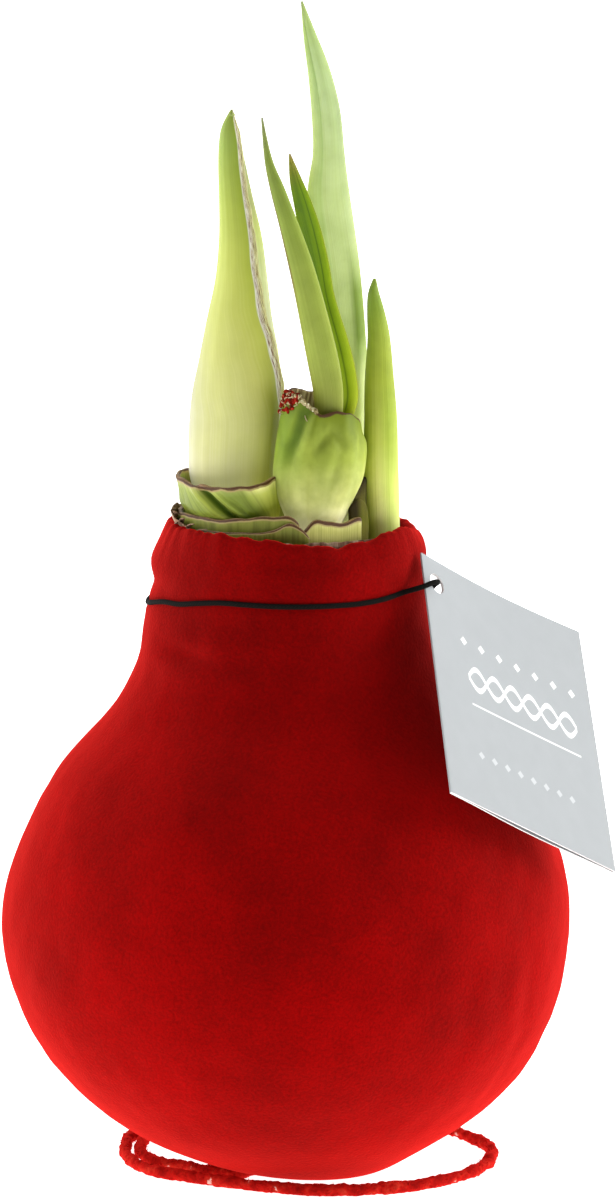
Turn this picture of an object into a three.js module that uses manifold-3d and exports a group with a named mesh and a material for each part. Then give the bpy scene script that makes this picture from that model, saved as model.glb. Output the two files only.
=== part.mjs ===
// An amaryllis bulb dipped in wax and flocked with red velvet, standing on a flocked wire spiral.
// A folded card tag hangs from a thin elastic round its neck, and a bud and four leaves grow out of it.
// Millimetres, +Z up. The origin is the middle of the small flat spot that the bulb rests on; the
// front of the bulb looks along -Y.
import * as THREE from 'three';
import { mergeVertices } from 'three/addons/utils/BufferGeometryUtils.js';
import Module from 'manifold-3d';

const wasm = await Module();
wasm.setup();

// ---- Driving dimensions -------------------------------------------------------------------------

const GAP = 0.3;               // clearance between pieces that touch
const GROOVE_GAP = GAP + 0.05; // round the wire and the elastic, whose facets lie a little out of line
const BELLY_RADIUS = 50;       // the coat's widest radius
const COAT_WALL = 2.2;         // wax and flock together
const COAT_SEGMENTS = 40;
const NECK_CENTRE = new THREE.Vector2(-6.1, 3);   // the neck stands a little left of the flat spot
const MOUTH_RADIUS = 20.4;     // inside of the coat's mouth
const MOUTH_FOOT = 107;        // from here up the mouth is straight
const RIM_HEIGHT = 116.6;      // top of the coat's rim
const BULB_TOP = 112.5;        // the bulb's cut neck, just below the rim
const SCALE_FOOT = BULB_TOP + GAP;

const WIRE_RADIUS = 1.1;       // wire with its flock
const WIRE_CENTRE = new THREE.Vector2(-3.3, 11);
const SPIKE_RADIUS = 20;       // the spike's distance from the middle of the turns
const SPIKE_DEGREES = -104;
const SPIKE_TOP = 28;          // how far the wire's inner end reaches up into the bulb
const WIRE_STEPS = 112;
const WIRE_SIDES = 8;

const TAG_WIDTH = 43.2;
const TAG_DROP = 48.5;
const CARD = 0.5;              // thickness of the card
const TAG_HOLE_RADIUS = 1.9;
const TAG_HOLE = new THREE.Vector3(19.5, -8.4, 106.8);   // middle of the hole, between the two leaves
const TAG_HOLE_IN = 3.6;       // from the fold to the hole's middle
const TAG_HOLE_DOWN = 4.9;     // from the top edge to the hole's middle
const TAG_DOWN = new THREE.Vector3(0.102, -0.649, -0.754).normalize();   // along the fold
const TAG_OUT = new THREE.Vector3(0.746, -0.451, 0.489).normalize();     // away from the bulb

const CORD_RADIUS = 0.55;
const CORD_SUNK = 0.1;         // the elastic's middle lies just under the coat's surface, in a groove
// How high the loop lies at degrees round the neck: higher at the tag and lower behind.
const CORD_HEIGHTS = [[-180, 101.6], [-155, 103.3], [-116, 105.1], [-75, 104.9], [-55, 104.9], [-38, 105.7],
  [-20, 105.8], [12, 105.2], [60, 103.2], [120, 101.6], [180, 101.6]];
const KNOT_RADIUS = 1.3;
const KNOT_AT = 0.045;         // part of the way round the loop, behind the tag
const KNOT_LENGTH = 0.024;

// ---- Materials ----------------------------------------------------------------------------------

const finish = (color, roughness) => new THREE.MeshStandardMaterial({ color, roughness, metalness: 0 });
const velvet = finish(0xb80a0c, 0.95);
const bulbFlesh = finish(0xb9c08a, 0.7);
const driedSkin = finish(0x6e4a34, 0.85);
const scaleGreen = finish(0xa3b566, 0.55);
const sheathGreen = finish(0x93ad52, 0.5);
const budGreen = finish(0xc3cf7c, 0.45);
const leafGreen = finish(0x8fb04e, 0.45);
const paleLeaf = finish(0xb5d08c, 0.45);
const greyCard = finish(0xcbd0d3, 0.6);
const blackElastic = finish(0x141414, 0.8);

// ---- Shapes -------------------------------------------------------------------------------------

// A closed solid through rings of points. Every ring has the same count and turns the same way, seen
// along the row of rings. A loop joins the last ring to the first, otherwise both ends get a flat fan.
function loft(rings, { loop = false } = {}) {
  const count = rings[0].length;
  const points = rings.flat();
  const faces = [];
  const last = loop ? rings.length : rings.length - 1;
  for (let i = 0; i < last; i++) {
    const here = i * count;
    const next = ((i + 1) % rings.length) * count;
    for (let j = 0; j < count; j++) {
      const k = (j + 1) % count;
      faces.push(here + j, here + k, next + k, here + j, next + k, next + j);
    }
  }
  if (!loop) {
    const fan = (ring, start, flip) => {
      const middle = points.length;
      points.push(ring.reduce((sum, p) => sum.add(p), new THREE.Vector3()).divideScalar(count));
      for (let j = 0; j < count; j++) {
        const k = (j + 1) % count;
        faces.push(middle, ...(flip ? [start + k, start + j] : [start + j, start + k]));
      }
    };
    fan(rings[0], 0, true);
    fan(rings[rings.length - 1], (rings.length - 1) * count, false);
  }
  const geometry = new THREE.BufferGeometry().setFromPoints(points);
  geometry.setIndex(faces);
  return outward(geometry);
}

// Turns the faces round where the solid would come out inside out.
function outward(geometry) {
  const at = geometry.attributes.position;
  const index = geometry.index.array;
  const [a, b, c] = [new THREE.Vector3(), new THREE.Vector3(), new THREE.Vector3()];
  let volume = 0;
  for (let i = 0; i < index.length; i += 3) {
    a.fromBufferAttribute(at, index[i]);
    b.fromBufferAttribute(at, index[i + 1]);
    c.fromBufferAttribute(at, index[i + 2]);
    volume += a.dot(b.cross(c));
  }
  if (volume < 0) index.reverse();
  geometry.computeVertexNormals();
  return geometry;
}

function toSolid(geometry) {
  const bare = geometry.clone();
  bare.deleteAttribute('normal');
  bare.deleteAttribute('uv');
  const welded = mergeVertices(bare, 1e-4);
  return new wasm.Manifold(new wasm.Mesh({
    numProp: 3,
    vertProperties: new Float32Array(welded.attributes.position.array),
    triVerts: new Uint32Array(welded.index.array),
  }));
}

function toGeometry(solid) {
  const mesh = solid.getMesh();
  const geometry = new THREE.BufferGeometry();
  geometry.setAttribute('position', new THREE.BufferAttribute(mesh.vertProperties, 3));
  geometry.setIndex(new THREE.BufferAttribute(mesh.triVerts, 1));
  geometry.computeVertexNormals();
  return geometry;
}

// A value read off a list of [position, value] pairs, eased between them.
function along(stops, t) {
  if (t <= stops[0][0]) return stops[0][1];
  for (let i = 1; i < stops.length; i++) {
    const [t0, v0] = stops[i - 1];
    const [t1, v1] = stops[i];
    if (t <= t1) return THREE.MathUtils.lerp(v0, v1, THREE.MathUtils.smoothstep(t, t0, t1));
  }
  return stops[stops.length - 1][1];
}

const radians = THREE.MathUtils.degToRad;
const onCircle = (centre, radius, degrees, z) => new THREE.Vector3(
  centre.x + radius * Math.cos(radians(degrees)),
  centre.y + radius * Math.sin(radians(degrees)),
  z,
);

function ring(centre, radius, z, segments = COAT_SEGMENTS) {
  return Array.from({ length: segments }, (_, j) => onCircle(centre, radius, (360 * j) / segments, z));
}

// ---- Wire stand ---------------------------------------------------------------------------------

// The wire lies flat in one and a half turns, after a short bend under the spike. Each entry is
// [degrees clockwise seen from above, radius].
const TURN_RADII = [
  [110, 21.6], [127, 22.4], [150, 25], [162, 28], [180, 29.6], [190, 29.8], [206, 31.6], [222, 32.4],
  [270, 32.6], [323, 31], [339, 31.6], [350, 32.4], [360, 33], [387, 33.6], [399, 33.8], [416, 33.9],
  [430, 33], [442, 32.3],
  [457, 30.5], [478, 28.6], [496, 29.2], [507, 31.4], [520, 31.8], [545, 32.3], [560, 33.5],
  [574, 34.9], [630, 35.4], [664, 34.6],
];

function wirePath(top) {
  const spikeFoot = onCircle(WIRE_CENTRE, SPIKE_RADIUS, SPIKE_DEGREES, 0);
  const points = [
    new THREE.Vector3(spikeFoot.x, spikeFoot.y, top),
    new THREE.Vector3(spikeFoot.x, spikeFoot.y, 15),
    new THREE.Vector3(spikeFoot.x, spikeFoot.y, 6.5),
    new THREE.Vector3(spikeFoot.x - 1.2, spikeFoot.y + 0.2, 3),
  ];
  const first = 20 - SPIKE_DEGREES;
  const step = 9;
  const last = TURN_RADII[TURN_RADII.length - 1][0];
  for (let turn = first; turn <= last; turn += step) {
    points.push(onCircle(WIRE_CENTRE, along(TURN_RADII, turn), -turn, WIRE_RADIUS));
  }
  return new THREE.CatmullRomCurve3(points, false, 'centripetal');
}

function tubeShape(radius, sides) {
  return new THREE.Shape(Array.from({ length: sides }, (_, j) => {
    const angle = (2 * Math.PI * (j + 0.5)) / sides;
    return new THREE.Vector2(radius * Math.cos(angle), radius * Math.sin(angle));
  }));
}

function wire(clearance = 0) {
  return new THREE.ExtrudeGeometry(tubeShape(WIRE_RADIUS + clearance, WIRE_SIDES), {
    steps: WIRE_STEPS,
    extrudePath: wirePath(SPIKE_TOP + clearance),
  });
}

// ---- Coat and bulb ------------------------------------------------------------------------------

// The coat's outline: height, radius, and how far the ring's middle lies left of the flat spot. The
// foot is lopsided, so the bulb leans on a spot to the right of its own middle.
const COAT_OUTLINE = [
  [0, 6, 0], [0.5, 11.2, 1.6], [2, 16.4, 3.4], [4, 21, 4.7], [7.4, 28, 5.6], [10.7, 33.3, 5.7],
  [14, 37.2, 5.9], [17.5, 40.5, 6], [20.8, 43, 6.2], [24.2, 45.1, 6.3], [27.7, 46.8, 6.5],
  [31.1, 48.1, 6.6], [35, 49.1, 6.8], [39, 49.8, 6.9], [44, BELLY_RADIUS, 7], [49, 49.9, 6.9],
  [54, 49.1, 6.7], [58.5, 47.7, 6.7], [62.2, 46.2, 6.7], [65.8, 44.4, 6.7], [69.4, 42.3, 6.6],
  [72.8, 39.8, 6.6], [76, 37, 6.5], [79.4, 33.7, 6.5], [83.2, 30.6, 6.5], [87.2, 28.6, 6.4],
  [91, 27.4, 6.4], [94.8, 26.4, 6.3], [98.3, 25.3, 6.2], [102, 24.5, 6.2], [105.8, 24.3, 6.1],
  [109.4, 24, 6.1], [112.6, 23.6, 6.1], [115, 23, 6.1], [RIM_HEIGHT - 0.3, 22, 6.1],
];

const centreAt = (z, left) => new THREE.Vector2(-left, NECK_CENTRE.y * Math.min(1, z / 15));

// Every other ring of the outline below the mouth, moved inwards by a distance, square to the surface.
function inset(distance) {
  return COAT_OUTLINE.slice(0, -1).map(([z, radius, left], i) => {
    const before = COAT_OUTLINE[Math.max(i - 1, 0)];
    const after = COAT_OUTLINE[i + 1];
    const slope = i === 0
      ? new THREE.Vector2(0, 1)
      : new THREE.Vector2(after[0] - before[0], before[1] - after[1]).normalize();
    return {
      centre: centreAt(z, left),
      radius: radius - slope.x * distance,
      z: z + (i === 0 ? distance : -slope.y * distance),
    };
  }).filter(({ z }, i) => z < MOUTH_FOOT - 4 && i % 2 === 0);
}

function coat() {
  const outer = COAT_OUTLINE.map(([z, radius, left]) => ring(centreAt(z, left), radius, z));
  const rimRound = 0.8;
  const rim = [
    ring(NECK_CENTRE, MOUTH_RADIUS + rimRound, RIM_HEIGHT),
    ring(NECK_CENTRE, MOUTH_RADIUS, RIM_HEIGHT - rimRound / 2),
    ring(NECK_CENTRE, MOUTH_RADIUS, MOUTH_FOOT),
  ];
  const inner = inset(COAT_WALL).map(({ centre, radius, z }) => ring(centre, radius, z)).reverse();
  const shell = toSolid(loft([...outer, ...rim, ...inner]));
  const pierced = shell.subtract(toSolid(wire(GROOVE_GAP)));
  return toGeometry(pierced.subtract(toSolid(tagCord(GROOVE_GAP))));
}

function bulb() {
  const slack = 0.1;
  const sides = inset(COAT_WALL + GAP).map(({ centre, radius, z }) => ring(centre, radius - slack, z));
  const neck = [MOUTH_FOOT, BULB_TOP].map((z) => ring(NECK_CENTRE, MOUTH_RADIUS - GAP - slack, z));
  const body = toSolid(loft([...sides, ...neck]));
  return toGeometry(body.subtract(toSolid(wire(GROOVE_GAP))));
}

// ---- Scales of the cut neck ---------------------------------------------------------------------

// A wall that follows an arc of the neck, from the bulb's cut top up to its own rim. The profile gives
// [how far up the wall from 0 to 1, outer radius], and the rim's height may change round the arc.
function clasp({ centre, from, to, profile, thickness, rim, steps = 24, foot = SCALE_FOOT }) {
  const sections = [];
  for (let i = 0; i <= steps; i++) {
    const t = i / steps;
    const degrees = THREE.MathUtils.lerp(from, to, t);
    const top = typeof rim === 'number' ? rim : along(rim, t);
    const height = (up) => THREE.MathUtils.lerp(foot, top, up);
    const outside = profile.map(([up, radius]) => onCircle(centre, radius, degrees, height(up)));
    const inside = profile
      .map(([up, radius]) => onCircle(centre, radius - thickness, degrees, height(up)))
      .reverse();
    sections.push([...outside, ...inside]);
  }
  return loft(sections);
}

const paperySkin = clasp({
  centre: NECK_CENTRE, from: 20, to: 340, thickness: 0.6, steps: 40,
  profile: [[0, 20], [1, 20.05]],
  rim: [[0, 117], [0.3, 117.6], [0.47, 120.2], [0.55, 118], [0.75, 116.6], [1, 116]],
});

const cutScaleLeft = clasp({
  centre: NECK_CENTRE, from: 40, to: 277, thickness: 1.1, steps: 36,
  profile: [[0, 19], [0.6, 19], [0.85, 19.1], [1, 19]],
  rim: [[0, 117.5], [0.4, 119], [0.62, 117.8], [0.8, 119.2], [0.95, 120], [1, 116.6]],
});

const cutScaleRight = clasp({
  centre: NECK_CENTRE, from: 279.5, to: 311, thickness: 1.1, steps: 10,
  profile: [[0, 19], [0.6, 19], [0.85, 19.1], [1, 19]],
  rim: [[0, 116.6], [0.15, 119], [0.5, 118.3], [0.85, 118.6], [1, 119.2]],
});

const cutCollar = clasp({
  centre: new THREE.Vector2(-10, 2), from: 62, to: 272, thickness: 1.2, steps: 34,
  profile: [[0, 12.5], [0.5, 13.5], [0.8, 15.1], [1, 15.7]],
  rim: [[0, 122], [0.3, 123.5], [0.56, 124], [0.7, 124.2], [0.9, 124.6], [1, 125.4]],
});

// A short tongue between the sheath and the right leaf.
const innerScale = clasp({
  centre: new THREE.Vector2(0.4, -3), from: 306, to: 350, thickness: 1, steps: 8,
  profile: [[0, 7], [0.5, 7.2], [1, 7]],
  rim: [[0, 119], [0.5, 121.6], [1, 120]],
});

// The middle sheath is a bulging cup, pinched to a point at its foot and cut open on top.
function leafSheath() {
  const sides = 24;
  const floor = 123;
  const wall = 0.9;
  // Height, middle across, middle deep, half width, half depth.
  const levels = [
    [SCALE_FOOT, -3.2, -8.2, 2.6, 3], [116, -3, -8, 3.6, 4.2], [119, -2.6, -7.4, 5.4, 5.4],
    [122, -2.1, -6.7, 6.9, 6.4], [125.5, -1.5, -6, 7.7, 7.1], [129.5, -0.8, -5.5, 8, 7.5],
    [132.5, -0.5, -5.3, 7.8, 7.3], [135, -0.5, -5.1, 7.2, 6.9], [137.2, -0.2, -5, 6.7, 6.4],
  ];
  // The cut rim is high at the back left and low at the right.
  const lean = (angle) => 1.7 * Math.cos(angle - radians(150));
  const oval = ([z, x, y, across, deep], shrink = 0) => Array.from({ length: sides }, (_, j) => {
    const angle = (2 * Math.PI * j) / sides;
    const rise = lean(angle) * THREE.MathUtils.smoothstep(z, 131, 137.2);
    return new THREE.Vector3(
      x + (across - shrink) * Math.cos(angle), y + (deep - shrink) * Math.sin(angle), z + rise,
    );
  });
  const inside = levels.filter(([z]) => z > floor + 1).reverse().map((level) => oval(level, wall));
  const bottom = oval([floor, -1.9, -6.4, 6.8, 6.3], wall + 0.6);
  return loft([...levels.map((level) => oval(level)), ...inside, bottom]);
}

// ---- Leaves and bud -----------------------------------------------------------------------------

// A leaf blade. Each station is [x, y, z, width]; the blade is bowed across by a part of its width,
// turned about its length by a few degrees, and tapers to thin edges.
function blade({ stations, thickness, bow, turn = 0, steps = 22 }) {
  const edgeTaper = 0.32;
  const spine = new THREE.CatmullRomCurve3(stations.map(([x, y, z]) => new THREE.Vector3(x, y, z)));
  const reach = stations.map((_, i) => i / (stations.length - 1));
  const widths = stations.map(([, , , width], i) => [reach[i], width]);
  const across = [-1, -0.6, 0, 0.6, 1];
  const rings = [];
  for (let i = 0; i <= steps; i++) {
    const t = i / steps;
    const point = spine.getPoint(t);
    const width = along(widths, t);
    const heading = spine.getTangent(t);
    const face = new THREE.Vector3(Math.sin(radians(turn)), -Math.cos(radians(turn)), 0);
    const side = new THREE.Vector3().crossVectors(heading, face).normalize();
    face.crossVectors(side, heading).normalize();
    const thick = thickness * Math.min(1, width / 4 + 0.15);
    const place = (u, out) => point.clone()
      .addScaledVector(side, (u * width) / 2)
      .addScaledVector(face, bow * width * (1 - u * u) + out);
    const half = (u) => thick * (0.5 - edgeTaper * u * u);
    const front = across.map((u) => place(u, half(u)));
    const back = across.map((u) => place(u, -half(u))).reverse();
    rings.push([...front, ...back]);
  }
  return loft(rings);
}

const LEAF_FOOT = 123.4;       // on the floor inside the sheath

const leafFront = blade({
  thickness: 1.5, bow: 0.12, turn: -12,
  stations: [
    [-0.6, -7.7, LEAF_FOOT, 3.4], [0.4, -7.9, 131, 4.2], [0.9, -8.2, 136, 4.9], [1, -8.4, 141, 5.4],
    [0, -8.7, 147.4, 5.6], [-1.9, -8.9, 157.2, 4.9], [-3.9, -9, 164.1, 4.4], [-6.1, -9.1, 170.5, 3.4],
    [-8.1, -9.1, 176.5, 2.6], [-9.6, -9.1, 181.8, 1.4], [-10.5, -9.1, 188.3, 0.4],
  ],
});

const leafInner = blade({
  thickness: 1.2, bow: -0.12, turn: 14,
  stations: [
    [0.8, -5.4, LEAF_FOOT, 3.4], [1.9, -5.4, 131, 4.1], [2.6, -5.4, 136, 4.6], [3.2, -5.6, 140, 5.3],
    [2.1, -5.8, 147, 5.2], [-0.2, -6, 156.3, 4.2], [-1.3, -6.1, 162.6, 4.2], [-2.6, -6.2, 168.6, 4],
    [-3.9, -6.3, 173.6, 3.2], [-5.2, -6.3, 178, 2.1], [-6.2, -6.3, 182.4, 0.4],
  ],
});

const leafTall = blade({
  thickness: 1.8, bow: 0.1, turn: 6, steps: 30,
  stations: [
    [1.6, 4.6, SCALE_FOOT + 0.4, 6], [2.7, 4.6, 121, 7], [3.5, 4.5, 130, 7.6], [3.6, 4.5, 139, 7.9],
    [3.2, 4.4, 149, 7.8], [2.2, 4.3, 161, 7.7], [0.6, 4.2, 173, 7.6], [0.6, 4.1, 181, 5.6],
    [0.2, 4, 188.4, 5.1], [-0.7, 4, 195.2, 4.3], [-2, 4, 201.4, 2.8], [-3.8, 4, 207.8, 0.4],
  ],
});

const leafRight = blade({
  thickness: 2.8, bow: 0.1, turn: 14,
  stations: [
    [10.2, -1.4, SCALE_FOOT + 0.2, 5.7], [10, -1.5, 120.5, 6], [9.8, -1.7, 128, 6],
    [9.7, -1.8, 135, 5.8], [9.4, -1.9, 142, 5.2], [9.3, -2, 149, 4], [8.8, -2, 153.5, 3.1],
    [8.4, -2, 157, 2], [8.6, -2, 159.8, 0.5],
  ],
});

// The bud's cover is two valves with a seam that runs up its right side.
// Height, middle across, half width.
const BUD = [
  [SCALE_FOOT, -15.4, 4.4], [116, -15.6, 5.3], [120, -15.9, 6.4], [125, -16.1, 7.4], [131, -15.9, 7.65],
  [138, -15.4, 7.7], [145, -15, 6.9], [152, -15, 5.7], [159, -14.7, 4.5], [166.4, -14.8, 3.7],
  [173, -15.5, 2.9], [180, -16.3, 2.2], [185.3, -16.6, 1.4], [188.8, -16.2, 0.5],
];
const BUD_DEPTH = 0.78;        // the bud is a little flatter than round
const BUD_MIDDLE_DEEP = 3.4;
// The seam lies at the right at the foot and turns to the front on its way up: [height, degrees].
const SEAM = [[134, -6], [151, -42], [168, -60], [188, -56]];

// Half of the bud's round outline, closed by the seam, a little off the other valve.
function budValve(front) {
  const levels = 26;
  const around = 12;
  const inSeam = 6;
  const clear = (GAP / 2 + 0.05) * (front ? 1 : -1);
  const axis = new THREE.CatmullRomCurve3(BUD.map(([z, x, half]) => new THREE.Vector3(x, half, z)));
  const rings = axis.getPoints(levels).map(({ x, y: half, z }) => {
    const seam = radians(along(SEAM, z));
    const start = front ? seam - Math.PI : seam;
    const away = new THREE.Vector3(Math.sin(seam), -Math.cos(seam), 0).multiplyScalar(clear);
    const at = (angle, part = 1) => new THREE.Vector3(
      x + part * half * Math.cos(angle),
      BUD_MIDDLE_DEEP + part * half * BUD_DEPTH * Math.sin(angle),
      z,
    ).add(away);
    const outside = Array.from({ length: around + 1 }, (_, j) => at(start + (Math.PI * j) / around));
    const across = Array.from({ length: inSeam - 1 }, (_, j) => (
      at(start + Math.PI, 1 - (2 * (j + 1)) / inSeam)
    ));
    return [...outside, ...across];
  });
  return loft(rings);
}

// ---- Tag and its elastic ------------------------------------------------------------------------

const TAG_ACROSS = new THREE.Vector3().crossVectors(TAG_OUT, TAG_DOWN).normalize();

// A point on the tag: across from the fold, out from the middle of the folded card, down from the top.
function onTag(across, out, down) {
  return TAG_HOLE.clone()
    .addScaledVector(TAG_ACROSS, across - TAG_HOLE_IN)
    .addScaledVector(TAG_OUT, out)
    .addScaledVector(TAG_DOWN, down - TAG_HOLE_DOWN);
}

// One sheet of card folded in two: drawn as a narrow V lying open, extruded down the fold.
function hangTag() {
  const spine = 0.25;          // half the gap at the fold
  const front = 0.25;          // how far out the front leaf's open edge stands
  const back = -0.8;           // and how far in the back leaf's open edge leans
  const fold = new THREE.Shape([
    new THREE.Vector2(0, -spine - CARD), new THREE.Vector2(TAG_WIDTH, back - CARD),
    new THREE.Vector2(TAG_WIDTH, back), new THREE.Vector2(CARD, -spine),
    new THREE.Vector2(CARD, spine), new THREE.Vector2(TAG_WIDTH, front),
    new THREE.Vector2(TAG_WIDTH, front + CARD), new THREE.Vector2(0, spine + CARD),
    new THREE.Vector2(-0.3, 0),
  ]);
  const card = new THREE.ExtrudeGeometry(fold, { depth: TAG_DROP, bevelEnabled: false });
  const punch = new THREE.CylinderGeometry(TAG_HOLE_RADIUS, TAG_HOLE_RADIUS, 8, 20);
  punch.translate(TAG_HOLE_IN, 0, TAG_HOLE_DOWN);
  return toGeometry(toSolid(card).subtract(toSolid(punch)));
}

// The elastic hugs the neck, leaves it at the right front, crosses the tag's fold, goes in through the
// hole and back to the neck behind the tag. Its plane rises a little to the right front.
function neckRadius(z) {
  const above = COAT_OUTLINE.findIndex(([height]) => height > z);
  const [z0, r0] = COAT_OUTLINE[above - 1];
  const [z1, r1] = COAT_OUTLINE[above];
  return THREE.MathUtils.mapLinear(z, z0, z1, r0, r1);
}

function cordPath() {
  const points = [];
  for (let degrees = 12; degrees <= 324; degrees += 12) {
    const z = along(CORD_HEIGHTS, degrees > 180 ? degrees - 360 : degrees);
    points.push(onCircle(NECK_CENTRE, neckRadius(z) - CORD_SUNK, degrees, z));
  }
  const down = TAG_HOLE_DOWN;
  points.push(onTag(-1.5, 0.6, down + 2.9), onTag(0.1, 2, down + 2), onTag(2.3, 2, down + 0.7));
  points.push(onTag(TAG_HOLE_IN - 0.3, 0, down), onTag(TAG_HOLE_IN + 0.2, -1.5, down));
  return new THREE.CatmullRomCurve3(points, true, 'centripetal');
}

function tagCord(clearance = 0) {
  const steps = 72;
  const sides = 8;
  const path = cordPath();
  const frames = path.computeFrenetFrames(steps, true);
  const rings = Array.from({ length: steps }, (_, i) => {
    const t = i / steps;
    const knot = Math.max(0, 1 - Math.abs(t - KNOT_AT) / (KNOT_LENGTH / 2));
    const radius = THREE.MathUtils.lerp(CORD_RADIUS, KNOT_RADIUS, knot) + clearance;
    const middle = path.getPointAt(t);
    const outwards = new THREE.Vector3(middle.x - NECK_CENTRE.x, middle.y - NECK_CENTRE.y, 0)
      .setLength((KNOT_RADIUS - CORD_RADIUS) * knot);
    return Array.from({ length: sides }, (_, j) => {
      const angle = (2 * Math.PI * j) / sides;
      return middle.clone().add(outwards)
        .addScaledVector(frames.normals[i], radius * Math.cos(angle))
        .addScaledVector(frames.binormals[i], radius * Math.sin(angle));
    });
  });
  return loft(rings, { loop: true });
}

// ---- Assembly -----------------------------------------------------------------------------------

const amaryllis = new THREE.Group();

function add(name, geometry, material) {
  const mesh = new THREE.Mesh(geometry, material);
  mesh.name = name;
  amaryllis.add(mesh);
  return mesh;
}

add('wire_stand', wire(), velvet);
add('velvet_coat', coat(), velvet);
add('bulb', bulb(), bulbFlesh);
add('papery_skin', paperySkin, driedSkin);
add('cut_scale_left', cutScaleLeft, scaleGreen);
add('cut_scale_right', cutScaleRight, scaleGreen);
add('cut_collar', cutCollar, scaleGreen);
add('inner_scale', innerScale, scaleGreen);
add('leaf_sheath', leafSheath(), sheathGreen);
add('leaf_front', leafFront, leafGreen);
add('leaf_inner', leafInner, leafGreen);
add('leaf_tall', leafTall, paleLeaf);
add('leaf_right', leafRight, leafGreen);
add('bud_front_valve', budValve(true), budGreen);
add('bud_back_valve', budValve(false), budGreen);
add('tag_cord', tagCord(), blackElastic);

const tag = add('hang_tag', hangTag(), greyCard);
tag.position.copy(onTag(0, 0, 0));
tag.quaternion.setFromRotationMatrix(new THREE.Matrix4().makeBasis(TAG_ACROSS, TAG_OUT, TAG_DOWN));

export default amaryllis;
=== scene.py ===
# A sprouting amaryllis bulb in a coat of wax and red velvet flock. It stands on a flocked wire spiral, and
# a folded card tag hangs from an elastic round its neck. Metres, +Z up, and the front looks along -Y.
import math
import random

import bmesh
import bpy
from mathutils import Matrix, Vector, noise


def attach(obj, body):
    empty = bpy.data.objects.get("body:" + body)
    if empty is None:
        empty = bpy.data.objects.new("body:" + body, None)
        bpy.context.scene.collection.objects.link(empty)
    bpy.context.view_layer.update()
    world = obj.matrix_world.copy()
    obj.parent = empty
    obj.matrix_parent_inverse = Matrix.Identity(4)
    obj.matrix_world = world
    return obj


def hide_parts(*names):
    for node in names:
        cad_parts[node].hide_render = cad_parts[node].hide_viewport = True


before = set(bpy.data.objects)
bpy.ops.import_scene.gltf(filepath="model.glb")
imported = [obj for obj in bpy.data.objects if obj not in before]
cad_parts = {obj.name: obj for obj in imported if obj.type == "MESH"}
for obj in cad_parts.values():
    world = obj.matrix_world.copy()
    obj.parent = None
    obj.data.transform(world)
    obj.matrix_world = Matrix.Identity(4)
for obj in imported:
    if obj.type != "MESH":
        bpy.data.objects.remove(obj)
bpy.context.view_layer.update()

# ---- Camera --------------------------------------------------------------------------------------
# A long lens looks at the front of the bulb from ten degrees above. It stands well back, so the bulb shows
# with hardly any perspective.

EYE_DISTANCE = 2.3
EYE_RISE = math.radians(10)
AIM = Vector((-0.003, 0.003, 0.1019))      # the middle of the picture, which the lamps face too
PICTURE_HEIGHT = 0.21084       # what the long side of the picture spans at the bulb
FILM = 36

camera = bpy.data.objects.new("camera", bpy.data.cameras.new("camera"))
bpy.context.scene.collection.objects.link(camera)
camera.data.sensor_width = FILM
camera.data.lens = FILM * EYE_DISTANCE / PICTURE_HEIGHT
camera.location = AIM + EYE_DISTANCE * Vector((0, -math.cos(EYE_RISE), math.sin(EYE_RISE)))
camera.rotation_euler = (math.pi / 2 - EYE_RISE, 0, 0)
bpy.context.scene.camera = camera

# ---- Floor and light -----------------------------------------------------------------------------
# A white light table that glows a little, so the bulb is lit from below as well. The room is bright
# behind the bulb and dim in front of it, with a wide lamp at each side and a weak one in front.


def pigment(red, green, blue):
    """A colour given as 0 to 255 on a screen, as the shaders take it."""
    def linear(part):
        part /= 255
        return part / 12.92 if part <= 0.04045 else ((part + 0.055) / 1.055) ** 2.4
    return (linear(red), linear(green), linear(blue), 1)


def new_material(name, **sockets):
    """A material with one Principled shader, whose named sockets are set, and its nodes and shader."""
    material = bpy.data.materials.new(name)
    material.use_nodes = True
    shader = material.node_tree.nodes["Principled BSDF"]
    for socket, value in sockets.items():
        shader.inputs[socket.replace("_", " ")].default_value = value
    return material, material.node_tree, shader


FLOOR_SIZE = 24

bpy.ops.object.select_all(action="DESELECT")
bpy.ops.mesh.primitive_plane_add(size=FLOOR_SIZE, location=(0, 0, 0))
floor = bpy.context.object
floor.name = "studio_floor"
table_white, _, _ = new_material("table white", Base_Color=pigment(246, 246, 246), Roughness=0.9,
                                 Specular_IOR_Level=0.1, Emission_Color=(1, 1, 1, 1),
                                 Emission_Strength=1.08)
floor.data.materials.append(table_white)

sky = bpy.data.worlds.new("studio sky")
sky.use_nodes = True
backdrop = sky.node_tree.nodes["Background"]
backdrop.inputs["Color"].default_value = (1, 1, 1, 1)
way = sky.node_tree.nodes.new("ShaderNodeTexCoord")
parts = sky.node_tree.nodes.new("ShaderNodeSeparateXYZ")
dim_front = sky.node_tree.nodes.new("ShaderNodeMapRange")
dim_front.interpolation_type = "SMOOTHSTEP"
# From the front of the room to its back the light grows from a tenth to its full strength.
for socket, value in (("From Min", -0.7), ("From Max", 0.35), ("To Min", 0.1), ("To Max", 1.0)):
    dim_front.inputs[socket].default_value = value
sky.node_tree.links.new(way.outputs["Generated"], parts.inputs["Vector"])
sky.node_tree.links.new(parts.outputs["Y"], dim_front.inputs["Value"])
sky.node_tree.links.new(dim_front.outputs["Result"], backdrop.inputs["Strength"])
bpy.context.scene.world = sky
bpy.context.scene.view_settings.view_transform = "Standard"


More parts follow.
